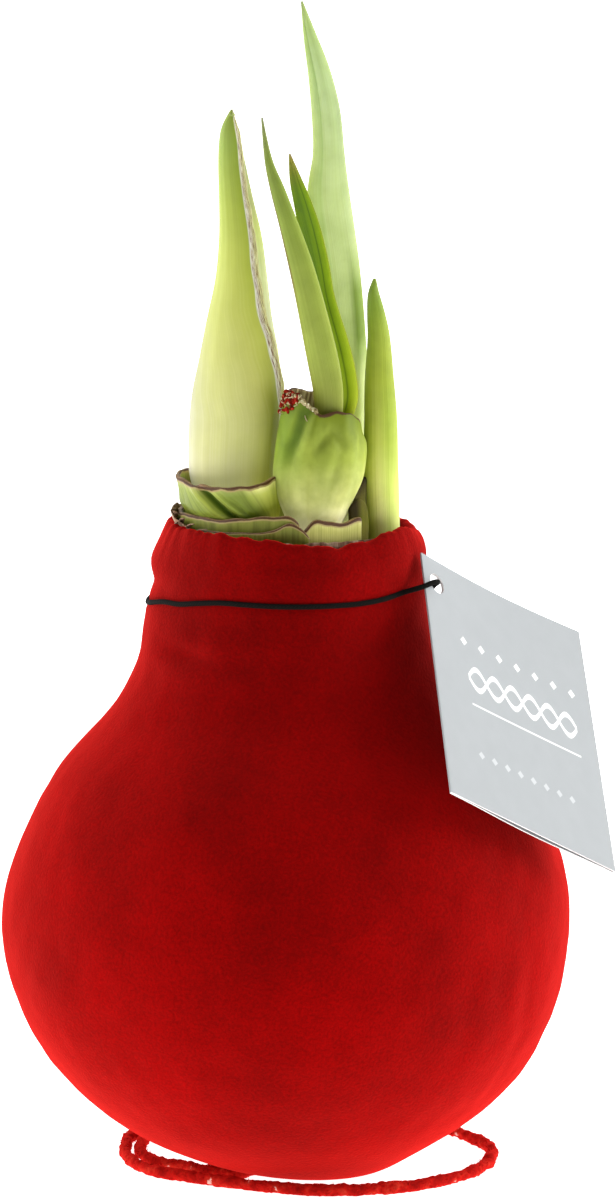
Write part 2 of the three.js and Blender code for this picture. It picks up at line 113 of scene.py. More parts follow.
def softbox(name, place, width, height, watts):
    """A rectangular lamp that faces the middle of the bulb and doesn't show itself."""
    lamp = bpy.data.objects.new(name, bpy.data.lights.new(name, "AREA"))
    bpy.context.scene.collection.objects.link(lamp)
    lamp.data.shape = "RECTANGLE"
    lamp.data.size = width
    lamp.data.size_y = height
    lamp.data.energy = watts
    lamp.location = place
    lamp.rotation_euler = (AIM - Vector(place)).to_track_quat("-Z", "Y").to_euler()
    lamp.visible_camera = False


# Name, place, width, height and watts.
softbox("left lamp", (-1.3, 0.1, 0.5), 0.8, 1.2, 9.8)
softbox("right lamp", (1.3, 0.1, 0.4), 0.8, 1.0, 14.4)
softbox("front lamp", (-0.5, -1.3, 1.1), 1.2, 0.9, 2.5)

# ---- Velvet coat ---------------------------------------------------------------------------------
# The bulb was dipped in wax and covered with short red flock. The skin follows the bulb and its neck,
# with a thick uneven lip at the mouth and a small flat foot. It is drawn up from the foot ring by ring.

MM = 0.001
COAT_WALL = 0.0022
COAT_SIDES, COAT_FOOT = 64, 6
FOOT_BACK, FOOT_TALL = 3, 15   # the rings' middle moves this far back over this much height
NECK_X, NECK_Y = -0.0061, 0.003
# Height, radius, and how far the ring's middle lies left of the foot, in millimetres.
COAT_OUTLINE = [
    (0.5, 11.2, 1.6), (2, 16.4, 3.4), (4, 21, 4.7), (7.4, 28, 5.6), (10.7, 33.3, 5.7), (14, 37.2, 5.9),
    (17.5, 40.5, 6), (20.8, 43, 6.2), (24.2, 45.1, 6.3), (27.7, 46.8, 6.5), (31.1, 48.1, 6.6),
    (35, 49.1, 6.8), (39, 49.8, 6.9), (44, 50, 7), (49, 49.9, 6.9), (54, 49.1, 6.7), (58.5, 47.7, 6.7),
    (62.2, 46.2, 6.7), (65.8, 44.4, 6.7), (69.4, 42.3, 6.6), (72.8, 39.8, 6.6), (76, 37, 6.5),
    (79.4, 33.7, 6.5), (83.2, 30.6, 6.5), (87.2, 28.6, 6.4), (91, 27.4, 6.4), (94.8, 26.4, 6.3),
    (98.3, 25.3, 6.2), (102, 24.5, 6.2), (105.8, 24.3, 6.1), (109.4, 24, 6.1), (112.6, 23.6, 6.1),
    (115, 23, 6.1), (116.4, 22.5, 6.1),
]


def coat_centre(height, left):
    """The middle of the coat's ring at a height, all in millimetres, as a point in metres."""
    return Vector((-left, FOOT_BACK * min(1, height / FOOT_TALL), height)) * MM


def drawn_up(sides, foot, rings, closed=False):
    """A round skin drawn up ring by ring from a closed foot; the foot and the rings are (middle, radius).
    Where it is closed, the last ring is drawn together."""
    middle, radius = foot
    bpy.ops.object.select_all(action="DESELECT")
    bpy.ops.mesh.primitive_circle_add(vertices=sides, radius=radius, fill_type="NGON", location=middle)
    bpy.ops.object.transform_apply(location=True)
    bpy.ops.object.mode_set(mode="EDIT")
    bpy.ops.mesh.inset(thickness=0.4 * radius)
    bpy.ops.mesh.select_all(action="DESELECT")
    bpy.ops.mesh.select_mode(type="EDGE")
    skin = bmesh.from_edit_mesh(bpy.context.object.data)
    for edge in skin.edges:
        edge.select = edge.is_boundary
    skin.select_flush_mode()
    bmesh.update_edit_mesh(bpy.context.object.data)
    for upper, wide in rings:
        bpy.ops.mesh.extrude_region_move(TRANSFORM_OT_translate={"value": upper - middle})
        bpy.ops.transform.resize(value=(wide / radius, wide / radius, 1), center_override=upper)
        middle, radius = upper, wide
    if closed:
        bpy.ops.mesh.merge(type="CENTER")
    bpy.ops.mesh.select_all(action="SELECT")
    bpy.ops.mesh.normals_make_consistent(inside=False)
    bpy.ops.object.mode_set(mode="OBJECT")


def smooth(name, levels, thickness=0, offset=-1, by_group=None, inside=0, rim=0):
    """Gives the active piece a wall where asked, rounds it off by subdivision and names it. The wall's
    inside and its rim may take a later material, and a vertex group may thin it."""
    piece = bpy.context.object
    piece.name = piece.data.name = name
    if thickness:
        wall = piece.modifiers.new("wall", "SOLIDIFY")
        wall.thickness = thickness
        wall.offset = offset
        wall.material_offset = inside
        wall.material_offset_rim = rim
        if by_group:
            wall.vertex_group = by_group
        bpy.ops.object.modifier_apply(modifier="wall")
    if levels:
        round_off = piece.modifiers.new("round off", "SUBSURF")
        round_off.levels = round_off.render_levels = levels
        bpy.ops.object.modifier_apply(modifier="round off")
    bpy.ops.object.shade_smooth()
    return piece


def seat(piece, slot, *nodes):
    """Lets a piece ride on the bulb and hides the nodes that it stands for; slot is not used."""
    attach(piece, "root")
    if nodes:
        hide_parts(*nodes)


drawn_up(COAT_SIDES, (Vector((0, 0, 0)), COAT_FOOT * MM),
         [(coat_centre(height, left), wide * MM) for height, wide, left in COAT_OUTLINE])
coat = smooth("velvet_coat_skin", 2, COAT_WALL)

# Folds and dents of the dipped skin: degrees round the neck, height, half width in degrees and
# height, and depth, in millimetres. The front is at -90 degrees.
FOLDS = [
    (-160, 91.5, 42, 3.4, -0.7), (-150, 98.5, 50, 2.4, 0.25), (-100, 88, 30, 3.2, -0.5),
    (-136, 95.2, 12, 1.7, -1.3), (-110, 94.6, 20, 2.0, -0.7), (-128, 84, 24, 3.0, -0.6),
    (-50, 90, 34, 4.0, -0.6), (-178, 116.5, 34, 4.5, -1.2), (-178, 109.5, 22, 2.2, 0.5),
    (-178, 101.5, 24, 1.8, 0.5), (-175, 105.5, 24, 1.4, -0.5), (-60, 110.5, 30, 2.6, 0.35),
    (-20, 113, 24, 2.4, 0.5), (-92, 112.5, 14, 1.8, -0.5), (-62, 114, 12, 1.8, -0.4),
    (30, 96, 40, 4.0, -0.7), (100, 90, 44, 4.5, -0.9), (150, 99, 26, 3.0, 0.5), (70, 106, 30, 2.6, -0.4),
    (-40, 34, 3.4, 16, -0.22), (-31, 33, 3.0, 15, -0.25), (-49, 31, 3.2, 14, -0.2),
    (-75, 66, 26, 10, -0.5), (160, 60, 30, 12, -0.6), (60, 56, 26, 14, -0.5),
]
# How high the elastic lies at degrees round the neck, in millimetres: higher at the tag, lower behind.
CORD_HEIGHTS = [(-180, 101.6), (-155, 103.3), (-116, 105.1), (-75, 104.9), (-55, 104.9), (-38, 105.7),
                (-20, 105.8), (12, 105.2), (60, 103.2), (120, 101.6), (180, 101.6)]
# How much higher the lip stands at degrees round the neck than its outline says.
LIP = [(0, -1.9), (45, -1), (90, -0.3), (135, 0.1), (180, 0.1), (205, 0.4), (226, 0.6), (247, 0.4),
       (265, 0.1), (274, -0.7), (292, -1.1), (307, -0.7), (323, 0.3), (334, 0.6), (345, -0.5), (360, -1.9)]


def eased(stops, place):
    """A value read off a list of (place, value), eased between its entries."""
    if place <= stops[0][0]:
        return stops[0][1]
    for (low, first), (high, last) in zip(stops, stops[1:]):
        if place <= high:
            part = (place - low) / (high - low)
            return first + (last - first) * part * part * (3 - 2 * part)
    return stops[-1][1]


def bell(value, middle, wide):
    """A soft bump of height 1 round a middle."""
    return math.exp(-((value - middle) / wide) ** 2)


def dents(table, degrees, height):
    """How far a list of dents moves a wall there. A sixth number slants one, in degrees per millimetre."""
    move = 0
    for middle, level, wide, tall, depth, *slant in table:
        turned = (degrees - middle - sum(slant) * (height - level) + 180) % 360 - 180
        move += depth * math.exp(-((turned / wide) ** 2) - ((height - level) / tall) ** 2)
    return move


def from_neck(point):
    """The level way from the neck's middle to a point, in metres."""
    return Vector((point.x - NECK_X, point.y - NECK_Y, 0))


FLAT_FOOT = 1.5                # the skin stays flat below this height
NEAR_AXIS = 5                  # and this near to the neck's axis
CALM_BELOW = 12                # it gets more uneven up to this height
SKIN_WAVES = [(0.55, 55), (0.16, 240)]     # how high its unevenness is, and how fine
LIP_WAVES = [(0.5, 9), (0.3, 22)]          # the same for the height of the lip
GROOVE_DEPTH, GROOVE_HALF = 0.45, 0.8
LIP_FOOT, LIP_TALL = 108, 8


def dimpled(point):
    """A point of the coat's surface with the folds, the uneven lip and the elastic's groove."""
    height = point.z / MM
    out = from_neck(point)
    if out.length < NEAR_AXIS * MM or height < FLAT_FOOT:
        return point
    angle = math.atan2(out.y, out.x)
    degrees = math.degrees(angle)
    move = dents(FOLDS, degrees, height)
    move -= GROOVE_DEPTH * bell(height, eased(CORD_HEIGHTS, degrees), GROOVE_HALF)
    for rise, fineness in SKIN_WAVES:
        move += min(1, height / CALM_BELOW) * rise * noise.noise(point * fineness)
    lip = max(0, (height - LIP_FOOT) / LIP_TALL)
    around = Vector((math.cos(angle), math.sin(angle), 3.1))
    sway = eased(LIP, degrees % 360)
    for rise, fineness in LIP_WAVES:
        sway += rise * noise.noise(around * fineness)
    move += lip * 0.12 * noise.noise(around * 12)
    return point + out.normalized() * move * MM + Vector((0, 0, sway * lip * lip * MM))


for vertex in coat.data.vertices:
    vertex.co = dimpled(vertex.co)


def new_group(name, number, results):
    """An empty node group that takes one number, and what comes in and goes out of it."""
    group = bpy.data.node_groups.new(name, "ShaderNodeTree")
    group.interface.new_socket(number, in_out="INPUT", socket_type="NodeSocketFloat")
    for result in results:
        group.interface.new_socket(result, in_out="OUTPUT", socket_type="NodeSocketFloat")
    return group, group.nodes.new("NodeGroupInput").outputs, group.nodes.new("NodeGroupOutput").inputs


def placed(tree, group, number):
    """A node group set in a material with its number; returns its outputs."""
    node = tree.nodes.new("ShaderNodeGroup")
    node.node_tree = group
    node.inputs[0].default_value = number
    return node.outputs


def solid(colour):
    """A colour as the sockets take it: a grey's number, or red, green and blue."""
    red, green, blue = colour[:3] if isinstance(colour, tuple) else (colour, colour, colour)
    return (red, green, blue, 1)


def feed(tree, value, socket):
    """Links a value to a socket if it is a socket too, and otherwise sets it."""
    if isinstance(value, bpy.types.NodeSocket):
        tree.links.new(value, socket)
    else:
        socket.default_value = solid(value) if isinstance(value, tuple) else value


def cloudy(tree, place, scale, detail, roughness=0.5):
    """A noise texture read at a place."""
    node = tree.nodes.new("ShaderNodeTexNoise")
    for value, socket in ((place, "Vector"), (scale, "Scale"), (detail, "Detail"),
                          (roughness, "Roughness")):
        feed(tree, value, node.inputs[socket])
    return node.outputs["Fac"]


def nap_group():
    """Short flock: patches where the nap lies another way, and the grain of the fibre ends."""
    group, given, results = new_group("flock nap", "Patch size", ("Patches", "Grain"))
    place = group.nodes.new("ShaderNodeTexCoord").outputs["Object"]
    group.links.new(cloudy(group, place, given["Patch size"], 5, 0.62), results["Patches"])
    group.links.new(cloudy(group, place, 1900, 2), results["Grain"])
    return group


NAP = nap_group()


def ramp(tree, value, stops):
    """A colour ramp on a value: each stop is (place, colour)."""
    node = tree.nodes.new("ShaderNodeValToRGB")
    tree.links.new(value, node.inputs["Fac"])
    elements = node.color_ramp.elements
    while len(elements) < len(stops):
        elements.new(1)
    for element, (place, colour) in zip(elements, stops):
        element.position = place
        element.color = solid(colour)
    return node.outputs["Color"]


def pigments(*stops):
    """A ramp's stops out of rows of a place and the red, green and blue of a pigment."""
    return [(place, pigment(*colour)) for place, *colour in stops]


SHARE, FIRST, SECOND, MIXED = 0, 6, 7, 2     # where a Mix node has its sockets for colours


def mix(tree, kind, share, first, second):
    """Two colours mixed; share, first and second are sockets or plain values."""
    node = tree.nodes.new("ShaderNodeMix")
    node.data_type = "RGBA"
    node.blend_type = kind
    for value, socket in ((share, SHARE), (first, FIRST), (second, SECOND)):
        feed(tree, value, node.inputs[socket])
    return node.outputs[MIXED]


def bump(tree, shader, height, strength, distance):
    """A height felt in the shader's normal."""
    node = tree.nodes.new("ShaderNodeBump")
    node.inputs["Strength"].default_value = strength
    node.inputs["Distance"].default_value = distance
    tree.links.new(height, node.inputs["Height"])
    tree.links.new(node.outputs["Normal"], shader.inputs["Normal"])


def fade(tree, value, start, end):
    """0 where the value is below start, 1 above end, and smooth between."""
    node = tree.nodes.new("ShaderNodeMapRange")
    node.interpolation_type = "SMOOTHSTEP"
    node.inputs["From Min"].default_value = start
    node.inputs["From Max"].default_value = end
    tree.links.new(value, node.inputs["Value"])
    return node.outputs["Result"]


def velvet(name, patch_size, deep, full, bright, worn=None):
    """Red flock: three reds by the lie of the nap, with a soft sheen along the outline. Where the patches
    pass the worn value, the flock is gone and the pale glue shows."""
    material, tree, shader = new_material(
        name, Roughness=0.95, Specular_IOR_Level=0.05, Sheen_Weight=1.0, Sheen_Roughness=0.45,
        Sheen_Tint=pigment(255, 44, 36))
    nap = placed(tree, NAP, patch_size)
    lie = ramp(tree, nap["Patches"], [(0.25, deep), (0.52, full), (0.8, bright)])
    fibre = ramp(tree, nap["Grain"], [(0.3, 0.62), (0.7, 1.25)])
    colour = mix(tree, "MULTIPLY", 0.55, lie, fibre)
    if worn:
        bare = fade(tree, nap["Patches"], worn, worn + 0.04)
        colour = mix(tree, "MIX", bare, colour, pigment(238, 196, 182))
    tree.links.new(colour, shader.inputs["Base Color"])
    bump(tree, shader, nap["Grain"], strength=0.35, distance=0.0003)
    return material


def painted(material):
    """A material's nodes, its colour socket and what feeds that now, so that it can be painted over."""
    socket = material.node_tree.nodes["Principled BSDF"].inputs["Base Color"]
    return material.node_tree, socket, socket.links[0].from_socket


# Painted shade: the flock's red is darkened on the neck, as if it lay in shadow, and the darkening grows
# between these heights.
NECK_SHADE_FROM, NECK_SHADE_TO = 76, 94
coat_velvet = velvet("coat velvet", 46, pigment(113, 0, 0), pigment(136, 0, 0), pigment(154, 0, 1))
tree, socket, red = painted(coat_velvet)
place, parts = tree.nodes.new("ShaderNodeTexCoord"), tree.nodes.new("ShaderNodeSeparateXYZ")
tree.links.new(place.outputs["Object"], parts.inputs["Vector"])
painted_neck_shade = fade(tree, parts.outputs["Z"], NECK_SHADE_FROM * MM, NECK_SHADE_TO * MM)
tree.links.new(mix(tree, "MULTIPLY", painted_neck_shade, red, (0.72, 0.7, 0.7)), socket)
coat.data.materials.append(coat_velvet)
seat(coat, "velvet", "velvet_coat")

# ---- Wire stand ----------------------------------------------------------------------------------
# A soft iron wire, wound into a flat spiral and flocked along with the bulb, in clumps that wore off here
# and there. Its inner end stands up and goes into the bulb through the coat.

WIRE_RADIUS = 1.1
WIRE_CORE = 0.86               # the bare wire's part of the radius, without its flock
CLUMP, LIFT = 0.26, 0.08       # how far the flock's clumps go out or in, and its own thickness
FLOOR_GAP = 0.05
WIRE_CENTRE = (-3.3, 11)
SPIKE_RADIUS, SPIKE_DEGREES, SPIKE_TOP = 20, -104, 28
FIRST_TURN, LAST_TURN, TURN_STEP = 20 - SPIKE_DEGREES, 665, 9
# Degrees clockwise seen from above, and the turn's radius there.
TURN_RADII = [
    (110, 21.6), (127, 22.4), (150, 25), (162, 28), (180, 29.6), (190, 29.8), (206, 31.6), (222, 32.4),
    (270, 32.6), (323, 31), (339, 31.6), (350, 32.4), (360, 33), (387, 33.6), (399, 33.8), (416, 33.9),
    (430, 33), (442, 32.3), (457, 30.5), (478, 28.6), (496, 29.2), (507, 31.4), (520, 31.8), (545, 32.3),
    (560, 33.5), (574, 34.9), (630, 35.4), (664, 34.6),
]


def on_curve(rows, t, closed=False):
    """The numbers at t, from 0 to 1, on a smooth curve through rows of numbers."""
    last = len(rows) if closed else len(rows) - 1
    start = min(int(t * last), last - 1)
    part = t * last - start

    def row(index):
        return rows[index % last] if closed else rows[max(0, min(index, last))]
    values = []
    for a, b, c, d in zip(row(start - 1), row(start), row(start + 1), row(start + 2)):
        bend = (2 * a - 5 * b + 4 * c - d) * part ** 2 + (3 * (b - c) + d - a) * part ** 3
        values.append(b + 0.5 * ((c - a) * part + bend))
    return values


def drawn_by_hand(name, shape):
    """A new piece out of a shape made face by face."""
    mesh = bpy.data.meshes.new(name)
    shape.to_mesh(mesh)
    shape.free()
    piece = bpy.data.objects.new(name, mesh)
    bpy.context.scene.collection.objects.link(piece)
    return piece


def tube(name, path, radius_at, sides, closed=False):
    """A round tube along the path's points, in metres; radius_at(part of the way) is its radius. Its UV
    map runs round it and along it."""
    count = len(path)
    spans = count if closed else count - 1
    shape = bmesh.new()
    uv = shape.loops.layers.uv.new("UVMap")
    rings, normal = [], None
    for i, point in enumerate(path):
        ahead = path[(i + 1) % count] if closed or i < count - 1 else point
        behind = path[i - 1] if closed or i else point
        heading = (ahead - behind).normalized()
        normal = (normal or heading.orthogonal()).cross(heading).cross(heading).normalized() * -1
        if closed:
            normal = heading.cross(Vector((0, 0, 1))).normalized()
        other = heading.cross(normal)
        wide = radius_at(i / spans)
        angles = [2 * math.pi * j / sides for j in range(sides)]
        rings.append([shape.verts.new(point + wide * (math.cos(a) * normal + math.sin(a) * other))
                      for a in angles])
    for i in range(spans):
        here, there = rings[i], rings[(i + 1) % count]
        for j in range(sides):
            k = (j + 1) % sides
            face = shape.faces.new((here[j], here[k], there[k], there[j]))
            for loop, (around, on) in zip(face.loops, ((j, i), (j + 1, i), (j + 1, i + 1), (j, i + 1))):
                loop[uv].uv = (around / sides, on / spans)
    if not closed:
        shape.faces.new(rings[0][::-1])
        shape.faces.new(rings[-1])
    piece = drawn_by_hand(name, shape)
    for polygon in piece.data.polygons:
        polygon.use_smooth = True
    return piece


def on_circle(centre, radius, degrees, height):
    """A point on a level circle round a centre, all in millimetres."""
    turn = math.radians(degrees)
    return Vector((centre[0] + radius * math.cos(turn), centre[1] + radius * math.sin(turn), height))


spike = on_circle(WIRE_CENTRE, SPIKE_RADIUS, SPIKE_DEGREES, 0)
wire_points = [spike + Vector(rise)
               for rise in ((0, 0, SPIKE_TOP), (0, 0, 15), (0, 0, 6.5), (-1.2, 0.2, 3))]
for turn in range(FIRST_TURN, LAST_TURN, TURN_STEP):
    wire_points.append(on_circle(WIRE_CENTRE, eased(TURN_RADII, turn), -turn, WIRE_RADIUS))
WIRE_STEPS, WIRE_SIDES = 620, 20
SPIKE_STEPS = WIRE_STEPS // 14             # of these, the ones down the spike
wire_path = [Vector(on_curve(wire_points, step / WIRE_STEPS)) * MM for step in range(WIRE_STEPS + 1)]
wire = tube("wire_stand_flocked", wire_path, lambda part: WIRE_RADIUS * WIRE_CORE * MM, WIRE_SIDES)
for vertex in wire.data.vertices:
    clump = sum(CLUMP * noise.noise(vertex.co * fineness) for fineness in (210, 700, 1700))
    near = wire_path[min(vertex.index // WIRE_SIDES, WIRE_STEPS)]
    vertex.co += (vertex.co - near).normalized() * (clump + LIFT) * MM
    vertex.co.z = max(vertex.co.z, FLOOR_GAP * MM)
wire.data.materials.append(velvet("wire velvet", 420, pigment(128, 12, 10), pigment(186, 22, 16),
                                  pigment(214, 72, 50), worn=0.66))
seat(wire, "wire_velvet", "wire_stand")

# Loose tufts of flock stand off the wire, each a thin spike with four sides.
TUFTS = 900
TUFT_WIDE, TUFT_LONG = (0.1, 0.22), (0.05, 0.6)      # from the smallest to the largest
TUFT_ROOT = 0.45               # how deep a tuft begins in the flock
chance = random.Random(3)
tufts = bmesh.new()
flat_path = wire_path[SPIKE_STEPS:]
for _ in range(TUFTS):
    root = chance.choice(flat_path)
    away = Vector([chance.gauss(0, 1) for _ in range(3)]).normalized()
    side = away.orthogonal().normalized() * chance.uniform(*TUFT_WIDE) * MM
    other = away.cross(side)
    foot = root + away * (WIRE_RADIUS - TUFT_ROOT) * MM
    tip = root + away * (WIRE_RADIUS + chance.uniform(*TUFT_LONG)) * MM
    tip += Vector([chance.gauss(0, 0.2) for _ in range(3)]) * MM
    if tip.z < FLOOR_GAP * MM:
        continue
    corners = [tufts.verts.new(foot + way) for way in (side, other, -side, -other)]
    peak = tufts.verts.new(tip)
    tufts.faces.new(corners[::-1])
    for first, second in zip(corners, corners[1:] + corners[:1]):
        tufts.faces.new((first, second, peak))
tuft_piece = drawn_by_hand("wire_flock_tufts", tufts)
tuft_piece.data.materials.append(wire.data.materials[0])
seat(tuft_piece, "wire_velvet")

# ---- Bulb ----------------------------------------------------------------------------------------
# The living bulb fills the coat. Its neck was cut level just below the coat's rim, so the cut scales show
# there as pale ridges one inside the other.

BULB_GAP = 3.2                 # from the coat's outside to the bulb
NECK_CUT = 112.4
NECK_RADIUS = 19.7
SCALE_STEP = 2.3               # from one cut scale to the next
NECK_FOOT = 108
BULB_SIDES, BULB_FOOT = 48, 14
# One cut scale: how far in from its edge, and how high over the cut.
SCALE_RIDGE = [(0, -0.9), (0.15, -0.1), (0.5, 0), (0.9, -0.2), (1.0, -1.1), (1.9, -1.2)]

rings = [(coat_centre(height, left), (wide - BULB_GAP) * MM)
         for height, wide, left in COAT_OUTLINE if 4 < height < 100]
neck = Vector((NECK_X, NECK_Y, 0))
rings.append((neck + Vector((0, 0, NECK_FOOT * MM)), NECK_RADIUS * MM))
scale_edge = NECK_RADIUS
while scale_edge > 2 * SCALE_STEP:
    for inwards, height in SCALE_RIDGE:
        rings.append((neck + Vector((0, 0, (NECK_CUT + height) * MM)), (scale_edge - inwards) * MM))
    scale_edge -= SCALE_STEP
drawn_up(BULB_SIDES, (coat_centre(4, 4.7), BULB_FOOT * MM), rings, closed=True)
flesh = smooth("bulb_flesh", 1)


def arithmetic(tree, operation, first, second=0):
    """One sum on two sockets or numbers."""
    node = tree.nodes.new("ShaderNodeMath")
    node.operation = operation
    feed(tree, first, node.inputs[0])
    feed(tree, second, node.inputs[1])
    return node.outputs["Value"]


def laid_out(tree, across, up):
    """The place that lies at two sockets' values."""
    node = tree.nodes.new("ShaderNodeCombineXYZ")
    tree.links.new(across, node.inputs["X"])
    tree.links.new(up, node.inputs["Y"])
    return node.outputs["Vector"]


def fibre_group():
    """Plant skin: where a point lies across and up its piece, and the fine veins and mottling there."""
    group, given, results = new_group("plant fibre", "Vein count", ("Across", "Up", "Veins", "Mottle"))
    place, apart = group.nodes.new("ShaderNodeTexCoord"), group.nodes.new("ShaderNodeSeparateXYZ")
    group.links.new(place.outputs["UV"], apart.inputs["Vector"])
    across, up = apart.outputs["X"], apart.outputs["Y"]
    stretched = laid_out(group, arithmetic(group, "MULTIPLY", across, given["Vein count"]),
                         arithmetic(group, "MULTIPLY", up, 0.6))
    mottle = cloudy(group, place.outputs["Object"], 260, 4)
    for value, result in zip((across, up, cloudy(group, stretched, 1, 4), mottle), results):
        group.links.new(value, result)
    return group


FIBRE = fibre_group()

cut_flesh, tree, shader = new_material("cut bulb flesh", Roughness=0.6, Specular_IOR_Level=0.35)
skin = placed(tree, FIBRE, 20)
flesh_colours = pigments((0.3, 86, 66, 34), (0.5, 150, 138, 84), (0.7, 190, 186, 130))
tree.links.new(ramp(tree, skin["Mottle"], flesh_colours), shader.inputs["Base Color"])
bump(tree, shader, skin["Mottle"], strength=0.4, distance=0.0004)
flesh.data.materials.append(cut_flesh)
seat(flesh, "bulb_flesh", "bulb")

# ---- Papery skin ---------------------------------------------------------------------------------
# The bulb's dry outer skin: thin, brown and crackled. It stands just inside the coat's rim, ragged on top,
# and at the left it is torn into strips that curl out over the rim.

NECK_CENTRE = (NECK_X / MM, NECK_Y / MM)
SKIN_RADIUS = 20.1
SKIN_FROM, SKIN_TO = 20, 340
SCALE_FOOT = 112.8             # where the skin and all the cut scales begin, on the bulb's cut neck
SKIN_RIM = [(0, 117), (0.3, 117.4), (0.42, 117.8), (0.47, 118.3), (0.53, 117.6), (0.6, 116.2), (0.7, 115.4),
            (1, 115.2)]


def shaped_sheet(name, across, along, place, materials, thickness, levels=1, offset=-1, closed=False,
                 weight=None, inside=0, rim=0):
    """A grid bent to place(u, v) in millimetres, u across and v up, both 0 to 1. It gets its materials and
    a wall, which weight(u, v) may thin, and is rounded off."""
    bpy.ops.object.select_all(action="DESELECT")
    bpy.ops.mesh.primitive_grid_add(x_subdivisions=across, y_subdivisions=along, size=1)
    sheet = bpy.context.object
    for material in materials:
        sheet.data.materials.append(material)
    full = sheet.vertex_groups.new(name="full")
    for vertex in sheet.data.vertices:
        u, v = vertex.co.x + 0.5, vertex.co.y + 0.5
        full.add([vertex.index], weight(u, v) if weight else 1, "REPLACE")
        vertex.co = Vector(place(u, v)) * MM
    if closed:
        bpy.ops.object.mode_set(mode="EDIT")
        bpy.ops.mesh.select_all(action="SELECT")
        bpy.ops.mesh.remove_doubles(threshold=1e-6)
        bpy.ops.object.mode_set(mode="OBJECT")
    return smooth(name, levels, thickness * MM, offset, "full" if weight else None, inside, rim)


def uneven(*place):
    """Smooth chance between -1 and 1, always the same at one place."""
    return noise.noise(Vector(place))


def on_wall(centre, radius, degrees, top, v):
    """A point of a wall that stands on the cut neck, v of the way up to its top."""
    return on_circle(centre, radius, degrees, SCALE_FOOT + (top - SCALE_FOOT) * v)


def papery_place(u, v):
    degrees = SKIN_FROM + (SKIN_TO - SKIN_FROM) * u
    ragged = 1.5 * uneven(degrees / 9, 0, 5) + 0.7 * uneven(degrees / 3, 0, 8)
    curl = 1.1 * v ** 3 * bell(degrees, 181, 20)
    crackle = 0.3 * uneven(degrees / 5, v * 4, 2)
    return on_wall(NECK_CENTRE, SKIN_RADIUS + curl + crackle, degrees, eased(SKIN_RIM, u) + 0.6 * ragged, v)


def dry_skin(name, dark, full, pale):
    """Dead brown plant skin with long dark and straw-coloured streaks."""
    material, tree, shader = new_material(name, Roughness=0.75, Specular_IOR_Level=0.25)
    skin = placed(tree, FIBRE, 90)
    streaks = ramp(tree, skin["Veins"], [(0.34, dark), (0.5, full), (0.66, pale)])
    mottle = ramp(tree, skin["Mottle"], [(0.3, 0.2), (0.7, 0.8)])
    tree.links.new(mix(tree, "OVERLAY", 0.5, streaks, mottle), shader.inputs["Base Color"])
    bump(tree, shader, skin["Veins"], strength=0.6, distance=0.0005)
    return material


dried = dry_skin("dried skin", pigment(98, 68, 50), pigment(152, 118, 92), pigment(208, 184, 154))
papery = shaped_sheet("papery_skin_ragged", 150, 8, papery_place, [dried], 0.3)
seat(papery, "dried_skin", "papery_skin")

# Torn strips at the left: degrees round the neck, radius and height of the foot, width, length, how far
# each leans out, and how many degrees it twists.
STRIPS = [(174, 19.7, 116.4, 1.7, 3.0, 0.9, 110), (186, 20, 116.4, 1.4, 3.6, 1.2, -140),
          (197, 19.9, 116.2, 1.5, 2.8, 0.9, 100), (164, 19.8, 116.2, 1.3, 2.6, 0.7, -120),
          (206, 19.9, 115.8, 1.3, 2.6, 0.9, 130), (215, 19.9, 115.6, 1.2, 2.0, 0.8, -140),
          (192, 20.3, 115.6, 1.2, 2.2, 1.0, 160)]
STRIP_DRIFT = 204              # how far the tops drift round the neck, in degrees times the radius


def torn_strip(number, degrees, radius, foot, wide, long, lean, twist):
    """One strip, which leans out and twists on its way up."""
    def place(u, v):
        middle = on_circle(NECK_CENTRE, radius + lean * v * v, degrees + STRIP_DRIFT * v * v / radius,
                           foot + long * (v - 0.35 * v * v))
        turn = math.radians(degrees + 90 + twist * v)
        narrow = wide * (1 - 0.55 * v) * (u - 0.5)
        return middle + narrow * Vector((math.cos(turn), math.sin(turn), 0.35 * math.sin(4 * v)))
    strip = shaped_sheet(f"papery_strip_{number}", 3, 12, place, [dried], 0.22, offset=0)
    seat(strip, "dried_skin")


for number, sizes in enumerate(STRIPS, 1):
    torn_strip(number, *sizes)

# ---- Cut scales ----------------------------------------------------------------------------------
# Stumps of the bulb's fleshy scales, cut off round the neck: green outside, pale in the cut, with a thin
# brown dried edge. Two lie one in the other at the left, and their ends cross a shorter one at the right.

CUT_BROWN, DRY_TAN = pigment(80, 50, 32), pigment(168, 148, 98)


def shares(edges):
    """A ramp's stops for a share of 0 at the first place and 1 at the second. With four places it is 1
    from the second to the third and 0 again at the fourth, and with none it is 1 all over."""
    return sorted(zip(edges, (0, 1, 1, 0))) or [(0, 1), (1, 1)]


